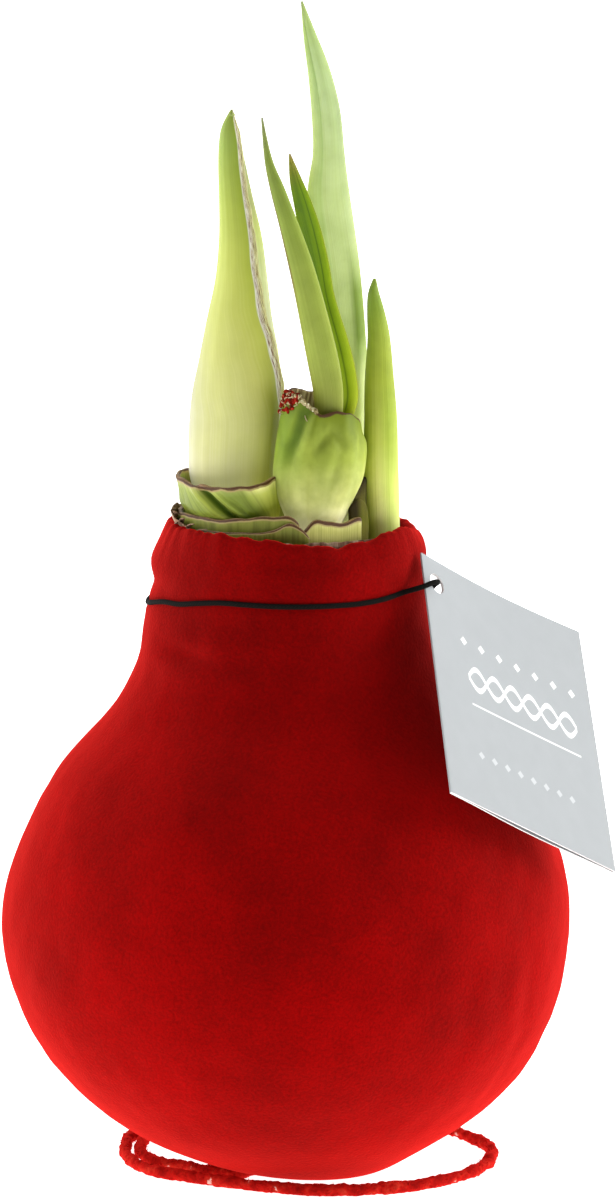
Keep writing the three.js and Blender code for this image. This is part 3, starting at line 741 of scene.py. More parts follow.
def green_skin(name, up, veins=40, depth=0.3, across=None, tints=(), dry=None, mottle=0.25, rough=0.5,
               relief=0.35, painted_glow=()):
    """Living plant skin. up gives the colours from foot to tip and across the tints from side to side. Each
    of the tints is (lean, share across, share up, colour), its shares given by their places, and multiplies
    what is there; a lean moves it sideways on its way up. Some tints are the skin's own colour, others are
    painted shade or painted highlights. Veins run along the skin. dry is (from how far up, colour, width of
    the tan band below it) of a dried rim. The painted glow gives the places and shares up where the skin's
    colour is emitted too: painted light that lifts its shade."""
    material, tree, shader = new_material(
        name, Roughness=rough, Specular_IOR_Level=0.2, Subsurface_Weight=0.25,
        Subsurface_Radius=(0.9, 1.0, 0.4), Subsurface_Scale=0.004)
    skin = placed(tree, FIBRE, veins)
    colour = ramp(tree, skin["Up"], up)
    if across:
        colour = mix(tree, "MULTIPLY", 1, colour, ramp(tree, skin["Across"], across))
    for lean, sideways, upwards, tint in tints:
        from_middle = arithmetic(tree, "SUBTRACT", skin["Up"], 0.5)
        leant = arithmetic(tree, "ADD", skin["Across"], arithmetic(tree, "MULTIPLY", from_middle, lean))
        share = arithmetic(tree, "MULTIPLY", ramp(tree, leant, shares(sideways)),
                           ramp(tree, skin["Up"], shares(upwards)))
        colour = mix(tree, "MULTIPLY", share, colour, tint)
    low = 1 - depth
    vein_tint = ramp(tree, skin["Veins"],
                     [(0.32, (low, low, low * 0.9)), (0.55, 1), (0.75, (1.06, 1.05, 1.12))])
    colour = mix(tree, "MULTIPLY", 1, colour, vein_tint)
    mottle_tint = ramp(tree, skin["Mottle"], [(0.35, (0.62, 0.66, 0.45)), (0.6, 1.05)])
    colour = mix(tree, "MULTIPLY", mottle, colour, mottle_tint)
    if dry:
        start, brown, band = dry
        edge = arithmetic(tree, "ADD", skin["Up"], arithmetic(tree, "MULTIPLY", skin["Mottle"], 0.12))
        if band:
            colour = mix(tree, "MIX", fade(tree, edge, start - band, start - 0.005), colour, DRY_TAN)
        colour = mix(tree, "MIX", fade(tree, edge, start, start + 0.02), colour, brown)
    if painted_glow:
        # Painted light: the skin's colour is emitted as well, so it shines brighter than its shade.
        painted_shine = mix(tree, "MULTIPLY", 1, colour, ramp(tree, skin["Up"], painted_glow))
        tree.links.new(painted_shine, shader.inputs["Emission Color"])
        shader.inputs["Emission Strength"].default_value = 1
    tree.links.new(colour, shader.inputs["Base Color"])
    bump(tree, shader, skin["Veins"], relief, distance=0.0003)
    return material


scale_skin = green_skin(
    "cut scale skin", pigments((0, 120, 118, 50), (0.55, 108, 114, 34), (0.85, 140, 146, 60)),
    veins=70, dry=(0.985, CUT_BROWN, 0.05))
pale_skin = green_skin(
    "pale scale skin", pigments((0, 196, 192, 120), (0.7, 190, 190, 104), (1, 206, 204, 130)),
    veins=60, depth=0.2, dry=(0.95, CUT_BROWN, 0.05))
pale_cut = green_skin("pale cut", pigments((0, 126, 96, 66), (1, 140, 110, 78)), veins=90, depth=0.5)


def scale_wall(name, slot, nodes, first, last, radius, thick, rim, flare, skin, bulge=0):
    """A cut scale along an arc of the neck, from first to last in degrees; rim gives (degrees, height). It
    may bulge at the left."""
    def place(u, v):
        degrees = first + (last - first) * u
        wavy = 0.3 * uneven(degrees / 16, v, radius)
        out = radius + flare * v * v + wavy + bulge * bell(degrees, 180, 24)
        top = eased(rim, degrees) + 0.25 * uneven(degrees / 7, radius, 0)
        return on_wall(NECK_CENTRE, out, degrees, top, v)
    steps = max(12, round((last - first) / 3))
    piece = shaped_sheet(name, steps, 8, place, [skin, pale_cut], thick, rim=1)
    seat(piece, slot, *nodes)


scale_wall("cut_scale_left_inner", "scale_green", ["cut_scale_left"], 40, 275, 18.5, 1.0, [
    (40, 117.5), (110, 118.6), (150, 118.4), (186, 117.9), (198, 118.3), (226, 118.5), (244, 119.3),
    (259, 119.8), (270, 120.2), (275, 118.6)], 0.3, scale_skin, bulge=1.1)
scale_wall("cut_scale_left_outer", "scale_green", [], 196, 280, 19.6, 0.8, [
    (196, 115.6), (222, 116.5), (240, 116.8), (254, 117), (262, 117.6), (270, 118.9), (275, 118.2),
    (280, 116.2)], 0.1, scale_skin)
scale_wall("cut_scale_right_stump", "scale_green", ["cut_scale_right"], 272, 311.5, 19.0, 1.0, [
    (272, 115.6), (277, 117.2), (283, 119.6), (290, 118.9), (300, 118.4), (308, 119.2), (311.5, 119)],
    0.2, pale_skin)

# ---- Cut collar ----------------------------------------------------------------------------------
# A taller green scale that clasps the bud's foot, cut off level. One sharp crease and a few soft folds run
# up its wall aslant, its left end curls, and its right end turns in behind the sheath.

COLLAR_CENTRE = (-10, 2)
COLLAR_FROM, COLLAR_TO = 62, 284
COLLAR_RADII = [(0, 13.2), (0.4, 13.9), (0.62, 15.1), (1, 15.2)]
COLLAR_RIM = [(62, 122), (125, 123.6), (165, 124.8), (185, 124.3), (209, 123.9), (230, 124), (251, 124.6),
              (284, 125.8)]
COLLAR_TUCK = [(256, 0), (284, -5.5)]      # its right end: degrees, and how far in
# Folds of its wall: degrees at the foot and at the rim, width to the left and right in degrees, and depth.
# The first is a crease with one steep side; the sheet's columns run along it.
COLLAR_FOLDS = [(277, 216, 1.3, 8, -1.5), (268, 208, 4.5, 4.5, 0.5), (285, 223, 3, 3, 0.4),
                (293, 231, 2.2, 2.2, -0.5), (196, 192, 7, 7, -0.3)]
COLLAR_CREASE = 0.831          # how far across the crease lies at half height
COLLAR_LEAN = 30.5             # degrees it leans to either side of that


def collar_place(u, v):
    lean = bell(u, COLLAR_CREASE, 0.25) if u < COLLAR_CREASE else (1 - u) / (1 - COLLAR_CREASE)
    degrees = COLLAR_FROM + (COLLAR_TO - COLLAR_FROM) * u + COLLAR_LEAN * (1 - 2 * v) * lean
    radius = eased(COLLAR_RADII, v) + 0.3 * uneven(degrees / 14, v * 1.5, 1)
    for low, high, left, right, depth in COLLAR_FOLDS:
        middle = low + (high - low) * v
        wide = left if degrees < middle else right
        radius += depth * min(1, v * 4, (1 - v) * 9) * bell(degrees, middle, wide)
    radius += 1.1 * v ** 4 * bell(degrees, 180, 16) + 0.8 * (1 - v) * bell(degrees, 174, 18)
    radius += eased(COLLAR_TUCK, degrees)
    top = eased(COLLAR_RIM, degrees) + 0.2 * uneven(degrees / 8, 0, 0)
    return on_wall(COLLAR_CENTRE, radius, degrees, top, v)


collar_skin = green_skin(
    "collar skin",
    pigments((0.3, 142, 148, 66), (0.6, 124, 138, 44), (0.85, 146, 160, 64), (0.95, 170, 178, 96)),
    veins=80, relief=0.1, dry=(1.014, CUT_BROWN, 0.026),
    # Painted light and shade: the first tint lightens the right end, which lies in the sheath's shadow; the
    # second darkens the fold right of the crease; the third is a painted shadow along the crease, the
    # fourth a painted highlight on the ridge beside it. The last is a browner tone high on the left.
    tints=[(0, (0.92, 0.95), (), (2.6, 2.3, 3.6)),
           (0, (0.86, 0.88, 0.9, 0.925), (), (0.7, 0.74, 0.66)),
           (0, (0.82, 0.826, 0.833, 0.842), (0.98, 0.93), (0.2, 0.3, 0.1)),
           (0, (0.77, 0.79, 0.805, 0.815), (0.97, 0.9), (1.3, 1.22, 1.3)),
           (0, (0.52, 0.44), (0.66, 0.8), (0.66, 0.42, 0.6))])
collar = shaped_sheet("cut_collar_folded", 150, 40, collar_place, [collar_skin, pale_cut], 0.8, rim=1)
seat(collar, "scale_green", "cut_collar")

# ---- Inner scale ---------------------------------------------------------------------------------
# A short dull green tongue in the gap between the sheath and the right leaf, thin and a little hollow. The
# dark, half dried foot of an old leaf stands behind it.

TONGUE_CENTRE = (0.4, -3)
TONGUE_RADIUS, TONGUE_BULGE = 7.5, 0.3
TONGUE_FROM, TONGUE_SPAN = 300, 40
TONGUE_TOP, TONGUE_ARCH = 119.2, 2.6       # where its arched top springs from, and how far it rises
OLD_LEAF_RADIUS = 6.9
OLD_LEAF_FROM, OLD_LEAF_SPAN = -48, 96
OLD_LEAF_TOP, OLD_LEAF_ARCH = 120.4, 4.6


def tongue_place(u, v):
    top = TONGUE_TOP + TONGUE_ARCH * math.sin(math.pi * (0.15 + 0.75 * u))
    radius = TONGUE_RADIUS + TONGUE_BULGE * math.sin(math.pi * v)
    return on_wall(TONGUE_CENTRE, radius, TONGUE_FROM + TONGUE_SPAN * u, top, v)


def old_leaf_place(u, v):
    degrees = OLD_LEAF_FROM + OLD_LEAF_SPAN * u
    top = OLD_LEAF_TOP + OLD_LEAF_ARCH * math.sin(math.pi * (0.2 + 0.6 * u))
    top += 0.5 * uneven(degrees / 5, 0, 3)
    return on_wall(TONGUE_CENTRE, OLD_LEAF_RADIUS, degrees, top, v)


tongue_skin = green_skin(
    "inner scale skin", pigments((0, 150, 142, 66), (0.6, 106, 106, 28), (1, 84, 78, 26)),
    veins=60, depth=0.2, mottle=0.5, rough=0.9,
    tints=[(0, (0.55, 0.3), (0.3, 0.45), (0.3, 0.22, 0.14))])
old_leaf_skin = green_skin(
    "old leaf skin", pigments((0, 124, 120, 44), (0.5, 104, 104, 34), (0.8, 82, 76, 24), (1, 46, 34, 14)),
    veins=60, depth=0.4, mottle=0.8, rough=0.95)
tongue = shaped_sheet("inner_scale_tongue", 10, 10, tongue_place, [tongue_skin, tongue_skin], 0.7, rim=1)
seat(tongue, "scale_green", "inner_scale")
old_leaf = shaped_sheet("old_leaf_foot", 12, 10, old_leaf_place, [old_leaf_skin], 0.7)
seat(old_leaf, "scale_green")

# ---- Leaf sheath ---------------------------------------------------------------------------------
# The stump of the sheath that the leaves grow out of: a bulging cup, pinched at its foot and cut open. Its
# green wall is dented, and the cut rim dried to a thin brown line.

# Height, middle across, middle deep, half width and half depth.
SHEATH_LEVELS = [
    (112.8, -2.6, -8.2, 2.6, 3.2), (115, -2.3, -8, 3.7, 4.4), (118.4, -1.7, -7.4, 5.3, 5.5),
    (121.6, -1.6, -6.7, 6.7, 6.4), (125.2, -1.2, -6, 7.95, 7.1), (129.2, -0.8, -5.5, 8.1, 7.5),
    (132.4, -0.5, -5.3, 7.8, 7.3), (135, -0.5, -5.1, 7.2, 6.9), (137.2, -0.2, -5, 6.8, 6.5),
]
SHEATH_TOP = 137.2
# The cut rim's height at degrees round the sheath; the front is at -90 degrees.
SHEATH_RIM = [(-180, 140.4), (-150, 140.6), (-132, 140.5), (-120, 139.6), (-107, 138.1), (-93, 137.3),
              (-70, 137.8), (-47, 137.3), (-20, 136), (0, 134.7), (60, 135.6), (110, 139.6), (150, 140.6),
              (180, 140.4)]
# Dents: degrees, height, half width in degrees, half height and depth, and where one is slanted, how much.
SHEATH_DENTS = [
    (-120, 135, 8, 4.2, -1.5, 2.6), (-101, 135.2, 9, 3.5, 0.9, 2.0), (-88, 132.6, 6, 1.7, -1.3, 5.0),
    (-70, 133.2, 6, 1.6, -0.9, -4.6), (-79, 130.2, 9, 1.8, 0.3), (-70, 127.5, 4.5, 3, -0.5, 1.6),
    (-46, 126.5, 13, 5.5, 0.35, 0.6), (-104, 124.5, 14, 5, 0.3), (-132, 129, 10, 5, -0.8),
    (-56, 135.6, 9, 2.0, 0.6), (-30, 131, 9, 3, -0.6, 2.0), (60, 128, 16, 7, -0.7),
    (118, 126, 14, 7, 0.5, 1.0), (20, 124, 16, 5, -0.5)]


def sheath_place(u, v):
    degrees = 360 * u - 180
    height, x, y, wide, deep = on_curve(SHEATH_LEVELS, v)
    rise = eased(SHEATH_RIM, degrees) - SHEATH_TOP
    height += rise * eased([(0.55, 0), (1, 1)], v) + 0.18 * v * uneven(u * 30, 0, 4)
    push = dents(SHEATH_DENTS, degrees, height)
    push += 0.9 * v ** 8 * bell(degrees, -118, 10) - 0.35 * v ** 6
    turn = math.radians(degrees)
    return Vector((x + (wide + push) * math.cos(turn), y + (deep + push) * math.sin(turn), height))


sheath_skin = green_skin(
    "sheath skin",
    pigments((0, 250, 238, 206), (0.2, 236, 228, 180), (0.4, 200, 204, 124), (0.62, 164, 178, 72),
             (0.95, 112, 128, 24)),
    veins=30, depth=0.06, mottle=0.6, rough=0.62, relief=0.06, dry=(1.022, CUT_BROWN, 0),
    tints=[(0, (0.2, 0.1), (0.4, 0.66), (0.66, 0.78, 0.44)),
           # Painted shade: the slanted tint darkens a strip along a fold high on the front-left, as its
           # shadow would.
           (-0.217, (0.055, 0.08, 0.095, 0.12), (0.55, 0.72), (0.5, 0.6, 0.42))],
    # Painted light: the glow lifts the shade at the foot.
    painted_glow=[(0, 0.35), (0.3, 0.24), (0.4, 0.06), (0.52, 0)])
sheath_inside = dry_skin("sheath inside", pigment(92, 70, 44), pigment(150, 128, 84),
                         pigment(206, 190, 140))
sheath_edge, _, _ = new_material("dried sheath edge", Base_Color=pigment(84, 56, 34), Roughness=0.7)
sheath = shaped_sheet("leaf_sheath_cut", 72, 30, sheath_place, [sheath_skin, sheath_inside, sheath_edge],
                      0.7, closed=True, inside=1, rim=2)
seat(sheath, "sheath_green", "leaf_sheath")

# ---- Flock crumbs --------------------------------------------------------------------------------
# Red flock, pale grains and fibres that stuck to the sheath's upper left when the bulb was flocked. They
# are scattered by chance over its rim and shoulder, and each kind is joined into one piece.

CRUMBS, GRAINS, FIBRES = 130, 90, 26
SHOULDER = 0.84                # how far up the sheath they begin
FIBRE_RADIUS, FIBRE_LONG = 0.09, (0.6, 1.6)
scatter = random.Random(7)


def crumbly(name, *stops):
    """A matt mottled stuff in small crumbs."""
    material, tree, shader = new_material(name, Roughness=0.95, Specular_IOR_Level=0.1)
    nap = placed(tree, NAP, 1100)
    tree.links.new(ramp(tree, nap["Patches"], pigments(*stops)), shader.inputs["Base Color"])
    return material


crumb_flock = crumbly("crumb flock", (0.36, 64, 32, 12), (0.46, 120, 22, 12), (0.58, 160, 34, 18),
                      (0.68, 180, 104, 72))
grain_skin = crumbly("rim grains", (0.38, 104, 84, 52), (0.52, 172, 160, 112), (0.62, 218, 212, 178))
fibre_white, _, _ = new_material("pale fibre", Base_Color=pigment(196, 176, 136), Roughness=0.8)


def on_sheath_shoulder(first, last, low):
    """A chance place on the sheath between two degrees, from low to the rim, and its outward way."""
    degrees = scatter.uniform(first, last)
    v = scatter.triangular(low, 1.0, 0.99)
    place = sheath_place(degrees / 360 + 0.5, v) * MM
    turn = math.radians(degrees)
    return place, Vector((math.cos(turn), math.sin(turn), 0))


def as_one(name, bits):
    """Joins small pieces into one and names it."""
    bpy.ops.object.select_all(action="DESELECT")
    for bit in bits:
        bit.select_set(True)
    bpy.context.view_layer.objects.active = bits[0]
    bpy.ops.object.join()
    bpy.ops.object.transform_apply(location=True, rotation=True, scale=True)
    bpy.ops.object.shade_smooth()
    piece = bpy.context.object
    piece.name = piece.data.name = name
    return piece


def crumbs(name, slot, count, material, first, last, low, largest):
    """Rough little balls of up to the largest radius, stuck to the sheath's shoulder, as one piece."""
    bits = []
    for number in range(count):
        place, away = on_sheath_shoulder(first, last, low)
        size = scatter.uniform(0.4, 1) * largest * MM
        bpy.ops.object.select_all(action="DESELECT")
        bpy.ops.mesh.primitive_ico_sphere_add(subdivisions=2, radius=size,
                                              location=place + away * size * 0.3)
        bit = bpy.context.object
        bit.data.materials.append(material)
        for vertex in bit.data.vertices:
            vertex.co *= 1 + 0.8 * noise.noise(vertex.co * 1800 + Vector((number, 0, 0)))
        bits.append(bit)
    seat(as_one(name, bits), slot)


crumbs("flock_crumbs", "velvet", CRUMBS, crumb_flock, first=-190, last=-130, low=SHOULDER, largest=0.42)
crumbs("rim_grains", "sheath_green", GRAINS, grain_skin, first=-140, last=-100, low=0.965, largest=0.34)

fibres = []
for number in range(FIBRES):
    place, away = on_sheath_shoulder(-170, -112, SHOULDER)
    lean = Vector((scatter.uniform(-1, 1), scatter.uniform(-1, 1), scatter.uniform(-0.6, 1))).normalized()
    long = scatter.uniform(*FIBRE_LONG) * MM
    bend = away * scatter.uniform(0.2, 0.6) * MM
    path = [place + away * 0.15 * MM + lean * long * (t - 0.5) + bend * math.sin(math.pi * t)
            for t in (0, 0.25, 0.5, 0.75, 1)]
    thin = tube("fibre", path, lambda part: FIBRE_RADIUS * MM, 5)
    thin.data.materials.append(fibre_white)
    fibres.append(thin)
seat(as_one("flock_fibres", fibres), "velvet")

# ---- Leaves --------------------------------------------------------------------------------------
# Four young strap leaves, thick in the middle and thin at the sides. Three stand in and behind the sheath,
# and a short one stands at the right. They are green at the tips and paler lower down.

THIN_SIDES = 0.78              # how much thinner a blade is at its sides than in its middle
LEAST_WALL = 0.12              # the least share of its thickness that is left anywhere


def leaf(name, slot, node, stations, thickness, bow, turn, skin, across=10, along=44, shift=None):
    """A blade along stations of (x, y, z, width), bowed by a part of its width and turned by some degrees.
    shift(side, v), with side from -1 to 1, pushes the blade out of its face where it is folded."""
    facing = Vector((math.sin(math.radians(turn)), -math.cos(math.radians(turn)), 0))

    def place(u, v):
        x, y, z, width = on_curve(stations, v)
        width = max(width, 0.3)
        above, below = (on_curve(stations, min(1, max(0, v + step)))[:3] for step in (0.01, -0.01))
        ahead = Vector(above) - Vector(below)
        sideways = ahead.cross(facing).normalized()
        out = sideways.cross(ahead).normalized()
        side = 2 * u - 1
        push = bow * width * (1 - side * side) + (shift(side, v) if shift else 0)
        return Vector((x, y, z)) + sideways * side * width / 2 + out * push

    def weight(u, v):
        width = on_curve(stations, v)[3]
        return max(LEAST_WALL, min(1, width / 4 + 0.15) * (1 - THIN_SIDES * abs(2 * u - 1) ** 2.5))
    piece = shaped_sheet(name, across, along, place, [skin], thickness, offset=0, weight=weight)
    seat(piece, slot, node)


olive = green_skin(
    "front leaf skin",
    pigments((0, 146, 146, 66), (0.2, 124, 128, 50), (0.4, 146, 158, 66), (0.7, 128, 144, 56),
             (0.9, 106, 120, 54), (1, 92, 96, 76)),
    veins=44, depth=0.1,
    across=[(0, (0.72, 0.6, 0.5)), (0.07, (0.86, 0.8, 0.72)), (0.16, 1), (0.8, (1.04, 1.06, 1)),
            (1, (1.1, 1.12, 1))],
    tints=[(0, (0.16, 0.08), (0.48, 0.56, 0.86, 0.94), (0.62, 0.34, 0.34))])
leaf(
    "leaf_front_blade", "leaf_green", "leaf_front",
    [(-0.6, -7.7, 123.4, 3.4), (0.2, -7.9, 131, 4.2), (0.55, -8.2, 136, 4.9), (0.5, -8.4, 141, 5.4),
     (-0.6, -8.7, 147.4, 5.6), (-2.75, -8.9, 157.2, 4.9), (-4.5, -9, 164.1, 4.3), (-6.4, -9.1, 170.5, 3.4),
     (-8.3, -9.1, 176.5, 2.6), (-9.9, -9.1, 181.8, 1.4), (-11, -9.1, 189.2, 0.3)], 1.3, 0.12, -12, olive)


def channel_folds(side, v):
    """A soft fold low at the inner leaf's right."""
    return 0.5 * bell(side, 0.75, 0.3) * bell(v, 0.3, 0.25)


channel = green_skin(
    "inner leaf skin",
    pigments((0, 176, 186, 50), (0.3, 150, 172, 20), (0.5, 110, 138, 0), (0.85, 92, 122, 0),
             (0.96, 104, 96, 40), (1, 120, 88, 66)),
    veins=40, depth=0.12,
    # Painted shade: the dark line at 0.69 across, beside the front leaf's edge, darkens the channel as
    # shade would.
    across=[(0, (0.72, 0.78, 0.5)), (0.42, (0.78, 0.86, 0.5)), (0.54, (1.15, 1.15, 0.9)),
            (0.64, (1.15, 1.15, 0.9)), (0.69, (0.45, 0.55, 0.3)), (0.74, (1.15, 1.15, 0.9)),
            (0.86, (1.35, 1.3, 1.6)), (0.96, (1.1, 1.05, 1)), (1, (0.8, 0.6, 0.5))])
leaf(
    "leaf_inner_channel", "leaf_green", "leaf_inner",
    [(0.8, -5.4, 123.4, 3.4), (1.9, -5.4, 131, 4.1), (2.6, -5.4, 136, 4.6), (3.2, -5.6, 140, 5.3),
     (2.1, -5.8, 147, 5.2), (-0.2, -6, 156.3, 4.2), (-1.3, -6.1, 162.6, 4.2), (-2.6, -6.2, 168.6, 4),
     (-3.9, -6.3, 173.6, 3.2), (-5.2, -6.3, 178, 2.1), (-6.2, -6.3, 182.4, 0.3)], 0.9, -0.14, 14, channel,
    across=14, shift=channel_folds)


def tall_folds(side, v):
    """A hollow high up in the tall leaf, and a soft swelling low at its right."""
    low_right = 0.7 * bell(side, 0.62, 0.22) * bell(v, 0.35, 0.25)
    return -0.5 * bell(side, -0.35, 0.22) * bell(v, 0.75, 0.22) + low_right


bloom = green_skin(
    "tall leaf skin",
    pigments((0, 232, 238, 182), (0.2, 222, 232, 168), (0.36, 208, 222, 156), (0.55, 196, 212, 146),
             (0.75, 178, 196, 140), (0.95, 160, 182, 118), (1, 142, 162, 92)),
    veins=50, depth=0.06, rough=0.55,
    across=[(0, (0.9, 0.92, 0.8)), (0.12, (0.98, 0.99, 0.94)), (0.3, (0.9, 0.95, 0.82)),
            (0.4, (1.04, 1.03, 1.06)), (0.75, 1), (1, 1)],
    # Painted shade: the first and third tints darken the right flank, which turns away from the light, and
    # the second darkens the left edge lower down.
    tints=[(0, (0.7, 0.8), (0.29, 0.36, 0.42, 0.49), (0.32, 0.4, 0.12)),
           (0, (0.2, 0.08), (0.6, 0.5), (0.6, 0.68, 0.4)),
           (0, (0.72, 0.86), (0.44, 0.5, 0.72, 0.84), (0.74, 0.76, 0.8))])
leaf(
    "leaf_tall_blade", "pale_leaf", "leaf_tall",
    [(1.6, 4.6, 113.2, 6), (2.7, 4.6, 121, 7), (3.5, 4.5, 130, 7.6), (3.6, 4.5, 139, 7.9),
     (3.2, 4.4, 149, 7.8), (2.2, 4.3, 161, 7.7), (0.6, 4.2, 173, 7.6), (0.6, 4.1, 181, 5.6),
     (0.1, 4, 188.4, 5.1), (-1.05, 4, 195.2, 4), (-2.6, 4, 201.4, 2.4), (-4.1, 4, 207.8, 0.3)], 1.6, 0.1, 6,
    bloom, across=14, along=56, shift=tall_folds)

fresh = green_skin(
    "right leaf skin",
    pigments((0, 250, 246, 180), (0.15, 236, 236, 144), (0.3, 194, 200, 92), (0.5, 160, 172, 54),
             (0.8, 132, 156, 50), (1, 116, 136, 56)),
    veins=36, depth=0.08,
    across=[(0, (0.5, 0.56, 0.2)), (0.2, (0.76, 0.8, 0.44)), (0.42, 1), (0.8, (1.08, 1.06, 1.1)),
            (1, (1.12, 1.08, 1.3))],
    tints=[(0, (0.36, 0.2), (0.7, 0.85), (1.2, 1.15, 2.4)),
           (0, (0.35, 0.6), (0.6, 0.4), (0.72, 0.84, 0.5))])
leaf(
    "leaf_right_blade", "leaf_green", "leaf_right",
    [(10.2, -1.4, 113, 5.8), (9.9, -1.5, 120.5, 6.2), (9.7, -1.7, 128, 6.2), (9.65, -1.8, 135, 5.9),
     (9.4, -1.9, 142, 5.2), (9.3, -2, 149, 4), (8.8, -2, 153.5, 3.1), (8.4, -2, 157, 2),
     (8.6, -2, 159.8, 0.4)], 2.6, 0.16, 14, fresh)

# ---- Flower bud ----------------------------------------------------------------------------------
# The bud's cover is two pale green valves. The front one laps over the back one, with a thin papery margin
# that dried white with brown specks. The seam turns from the right side to the front on its way up.

# Height, middle across, and half width.
BUD = [(112.8, -15.4, 4.4), (116, -15.6, 5.3), (120, -15.9, 6.4), (125, -16.1, 7.4), (131, -15.9, 7.65),
       (138, -15.4, 7.65), (145, -14.9, 6.75), (152, -14.85, 5.45), (159, -14.5, 4.3), (166.4, -14.65, 3.5),
       (173, -15.4, 2.75), (180, -16.2, 2.1), (185.3, -16.5, 1.35), (188.9, -16.3, 0.1)]
BUD_FLAT = 0.78                # the bud is a little flatter than round
BUD_DEEP = 3.4                 # its middle, back from the origin
# Degrees round the bud at which the front valve's green ends, at each height.
SEAM = [(134, -5), (141.4, -20), (147, -34), (156, -54), (163, -65), (178, -68), (188, -62)]
MARGIN = 0.75                  # width of the papery margin
FRONT_SPAN = 188               # degrees of the bud that the front valve's green covers
FRONT_OUT = 0.4                # how far it lies over the back valve
LAP_FROM = 0.9                 # how far across it its thin lapping edge begins


def on_bud(v, degrees, out):
    """A point on the bud at a part of its height."""
    height, x, half = on_curve(BUD, v)
    turn = math.radians(degrees)
    ribbed = 0.035 * math.sin(math.radians(degrees * 16)) * min(1, half / 3)
    wide = half + out + ribbed
    return Vector((x + wide * math.cos(turn), BUD_DEEP + wide * BUD_FLAT * math.sin(turn), height))


def back_place(u, v):
    return on_bud(v, 360 * u, 0.15 - 0.3 * v ** 8) + Vector((0, 0, -0.5 * v ** 6))


bud_colours = pigments((0, 240, 232, 200), (0.17, 240, 236, 184), (0.3, 224, 225, 146),
                       (0.48, 212, 216, 124), (0.62, 200, 210, 108), (0.75, 178, 194, 90),
                       (0.88, 156, 178, 86), (1, 148, 166, 84))
back_skin = green_skin(
    "back valve skin",
    [(part, (red * 1.06, green * 1.04, blue * 1.15)) for part, (red, green, blue, _) in bud_colours],
    veins=70, depth=0.08, relief=0.05,
    tints=[(0, (0.76, 0.79), (0.7, 0.76), (0.85, 0.76, 1.2)),
           (0, (0.76, 0.79), (0.46, 0.52, 0.64, 0.72), (1, 1, 1.8))])
back_valve = shaped_sheet("bud_back_valve_skin", 40, 48, back_place, [back_skin], 0.8, closed=True)
seat(back_valve, "bud_green", "bud_back_valve")


def front_place(u, v):
    height, _, half = on_curve(BUD, v)
    half = max(half, 0.6)
    seam = eased(SEAM, height)
    margin = math.degrees(MARGIN * eased([(136, 0.4), (150, 1), (182, 1), (188, 0.2)], height) / half)
    first, last = seam - FRONT_SPAN, seam + margin
    lap = max(0, (u - LAP_FROM) / (1 - LAP_FROM))
    flare = 0.45 * lap * lap + 0.16 * lap * math.sin(height * 1.4) + 0.12 * lap * math.sin(height * 3.3 + 1)
    return on_bud(v, first + (last - first) * u, (FRONT_OUT + flare) * min(1, 0.1 + (1 - v) * 12))


front_skin = green_skin(
    "front valve skin", bud_colours, veins=60, depth=0.03, mottle=0.1, relief=0.02,
    across=[(0, (0.7, 0.72, 1)), (0.12, (0.77, 0.76, 1.5)), (0.3, (0.89, 0.88, 1.2)), (0.45, (1, 1, 1.05)),
            (0.72, (0.92, 0.92, 0.76)), (0.88, (0.78, 0.8, 0.46)), (1, (0.78, 0.8, 0.46))],
    # Painted shade: the first two tints darken the right side near the foot, by the seam, as shade would.
    tints=[(0, (0.62, 0.76), (0.3, 0.2), (0.66, 0.68, 0.34)),
           (0, (0.74, 0.84), (0.5, 0.34), (0.6, 0.62, 0.34)),
           (0, (0.5, 0.3), (0.4, 0.2), (1, 1, 0.72))],
    # Painted light: the glow lifts the shade of the pale foot.
    painted_glow=[(0.1, 0.3), (0.22, 0.2), (0.34, 0)])
# The papery margin is painted over the green, with specks that grow along it.
tree, socket, green = painted(front_skin)
skin = placed(tree, FIBRE, 320)
along_the_margin = laid_out(tree, arithmetic(tree, "MULTIPLY", skin["Across"], 260),
                            arithmetic(tree, "MULTIPLY", skin["Up"], 45))
specks = cloudy(tree, along_the_margin, 1, 3)
spotted = ramp(tree, specks, [(0.42, (0.2, 0.09, 0.06)), (0.49, (0.7, 0.56, 0.4)), (0.55, 1)])
inner_half = ramp(tree, skin["Across"], [(0.915, 0), (0.93, 1), (0.98, 1), (1, 0.3)])
paper = ramp(tree, skin["Across"],
             pigments((0.91, 242, 242, 232), (0.945, 232, 230, 206), (0.975, 214, 214, 150)))
paper = mix(tree, "MULTIPLY", inner_half, paper, spotted)
tree.links.new(mix(tree, "MIX", fade(tree, skin["Across"], 0.905, 0.925), green, paper), socket)
front_valve = shaped_sheet("bud_front_valve_skin", 48, 60, front_place, [front_skin], 0.45,
                           weight=lambda u, v: 0.3 if u > LAP_FROM else 1)
seat(front_valve, "bud_green", "bud_front_valve")

# ---- Tag -----------------------------------------------------------------------------------------
# A sheet of grey card folded in two, punched near the fold, with white cut edges. The print on its front
# leaf is a plain white braid between rows of diamonds.

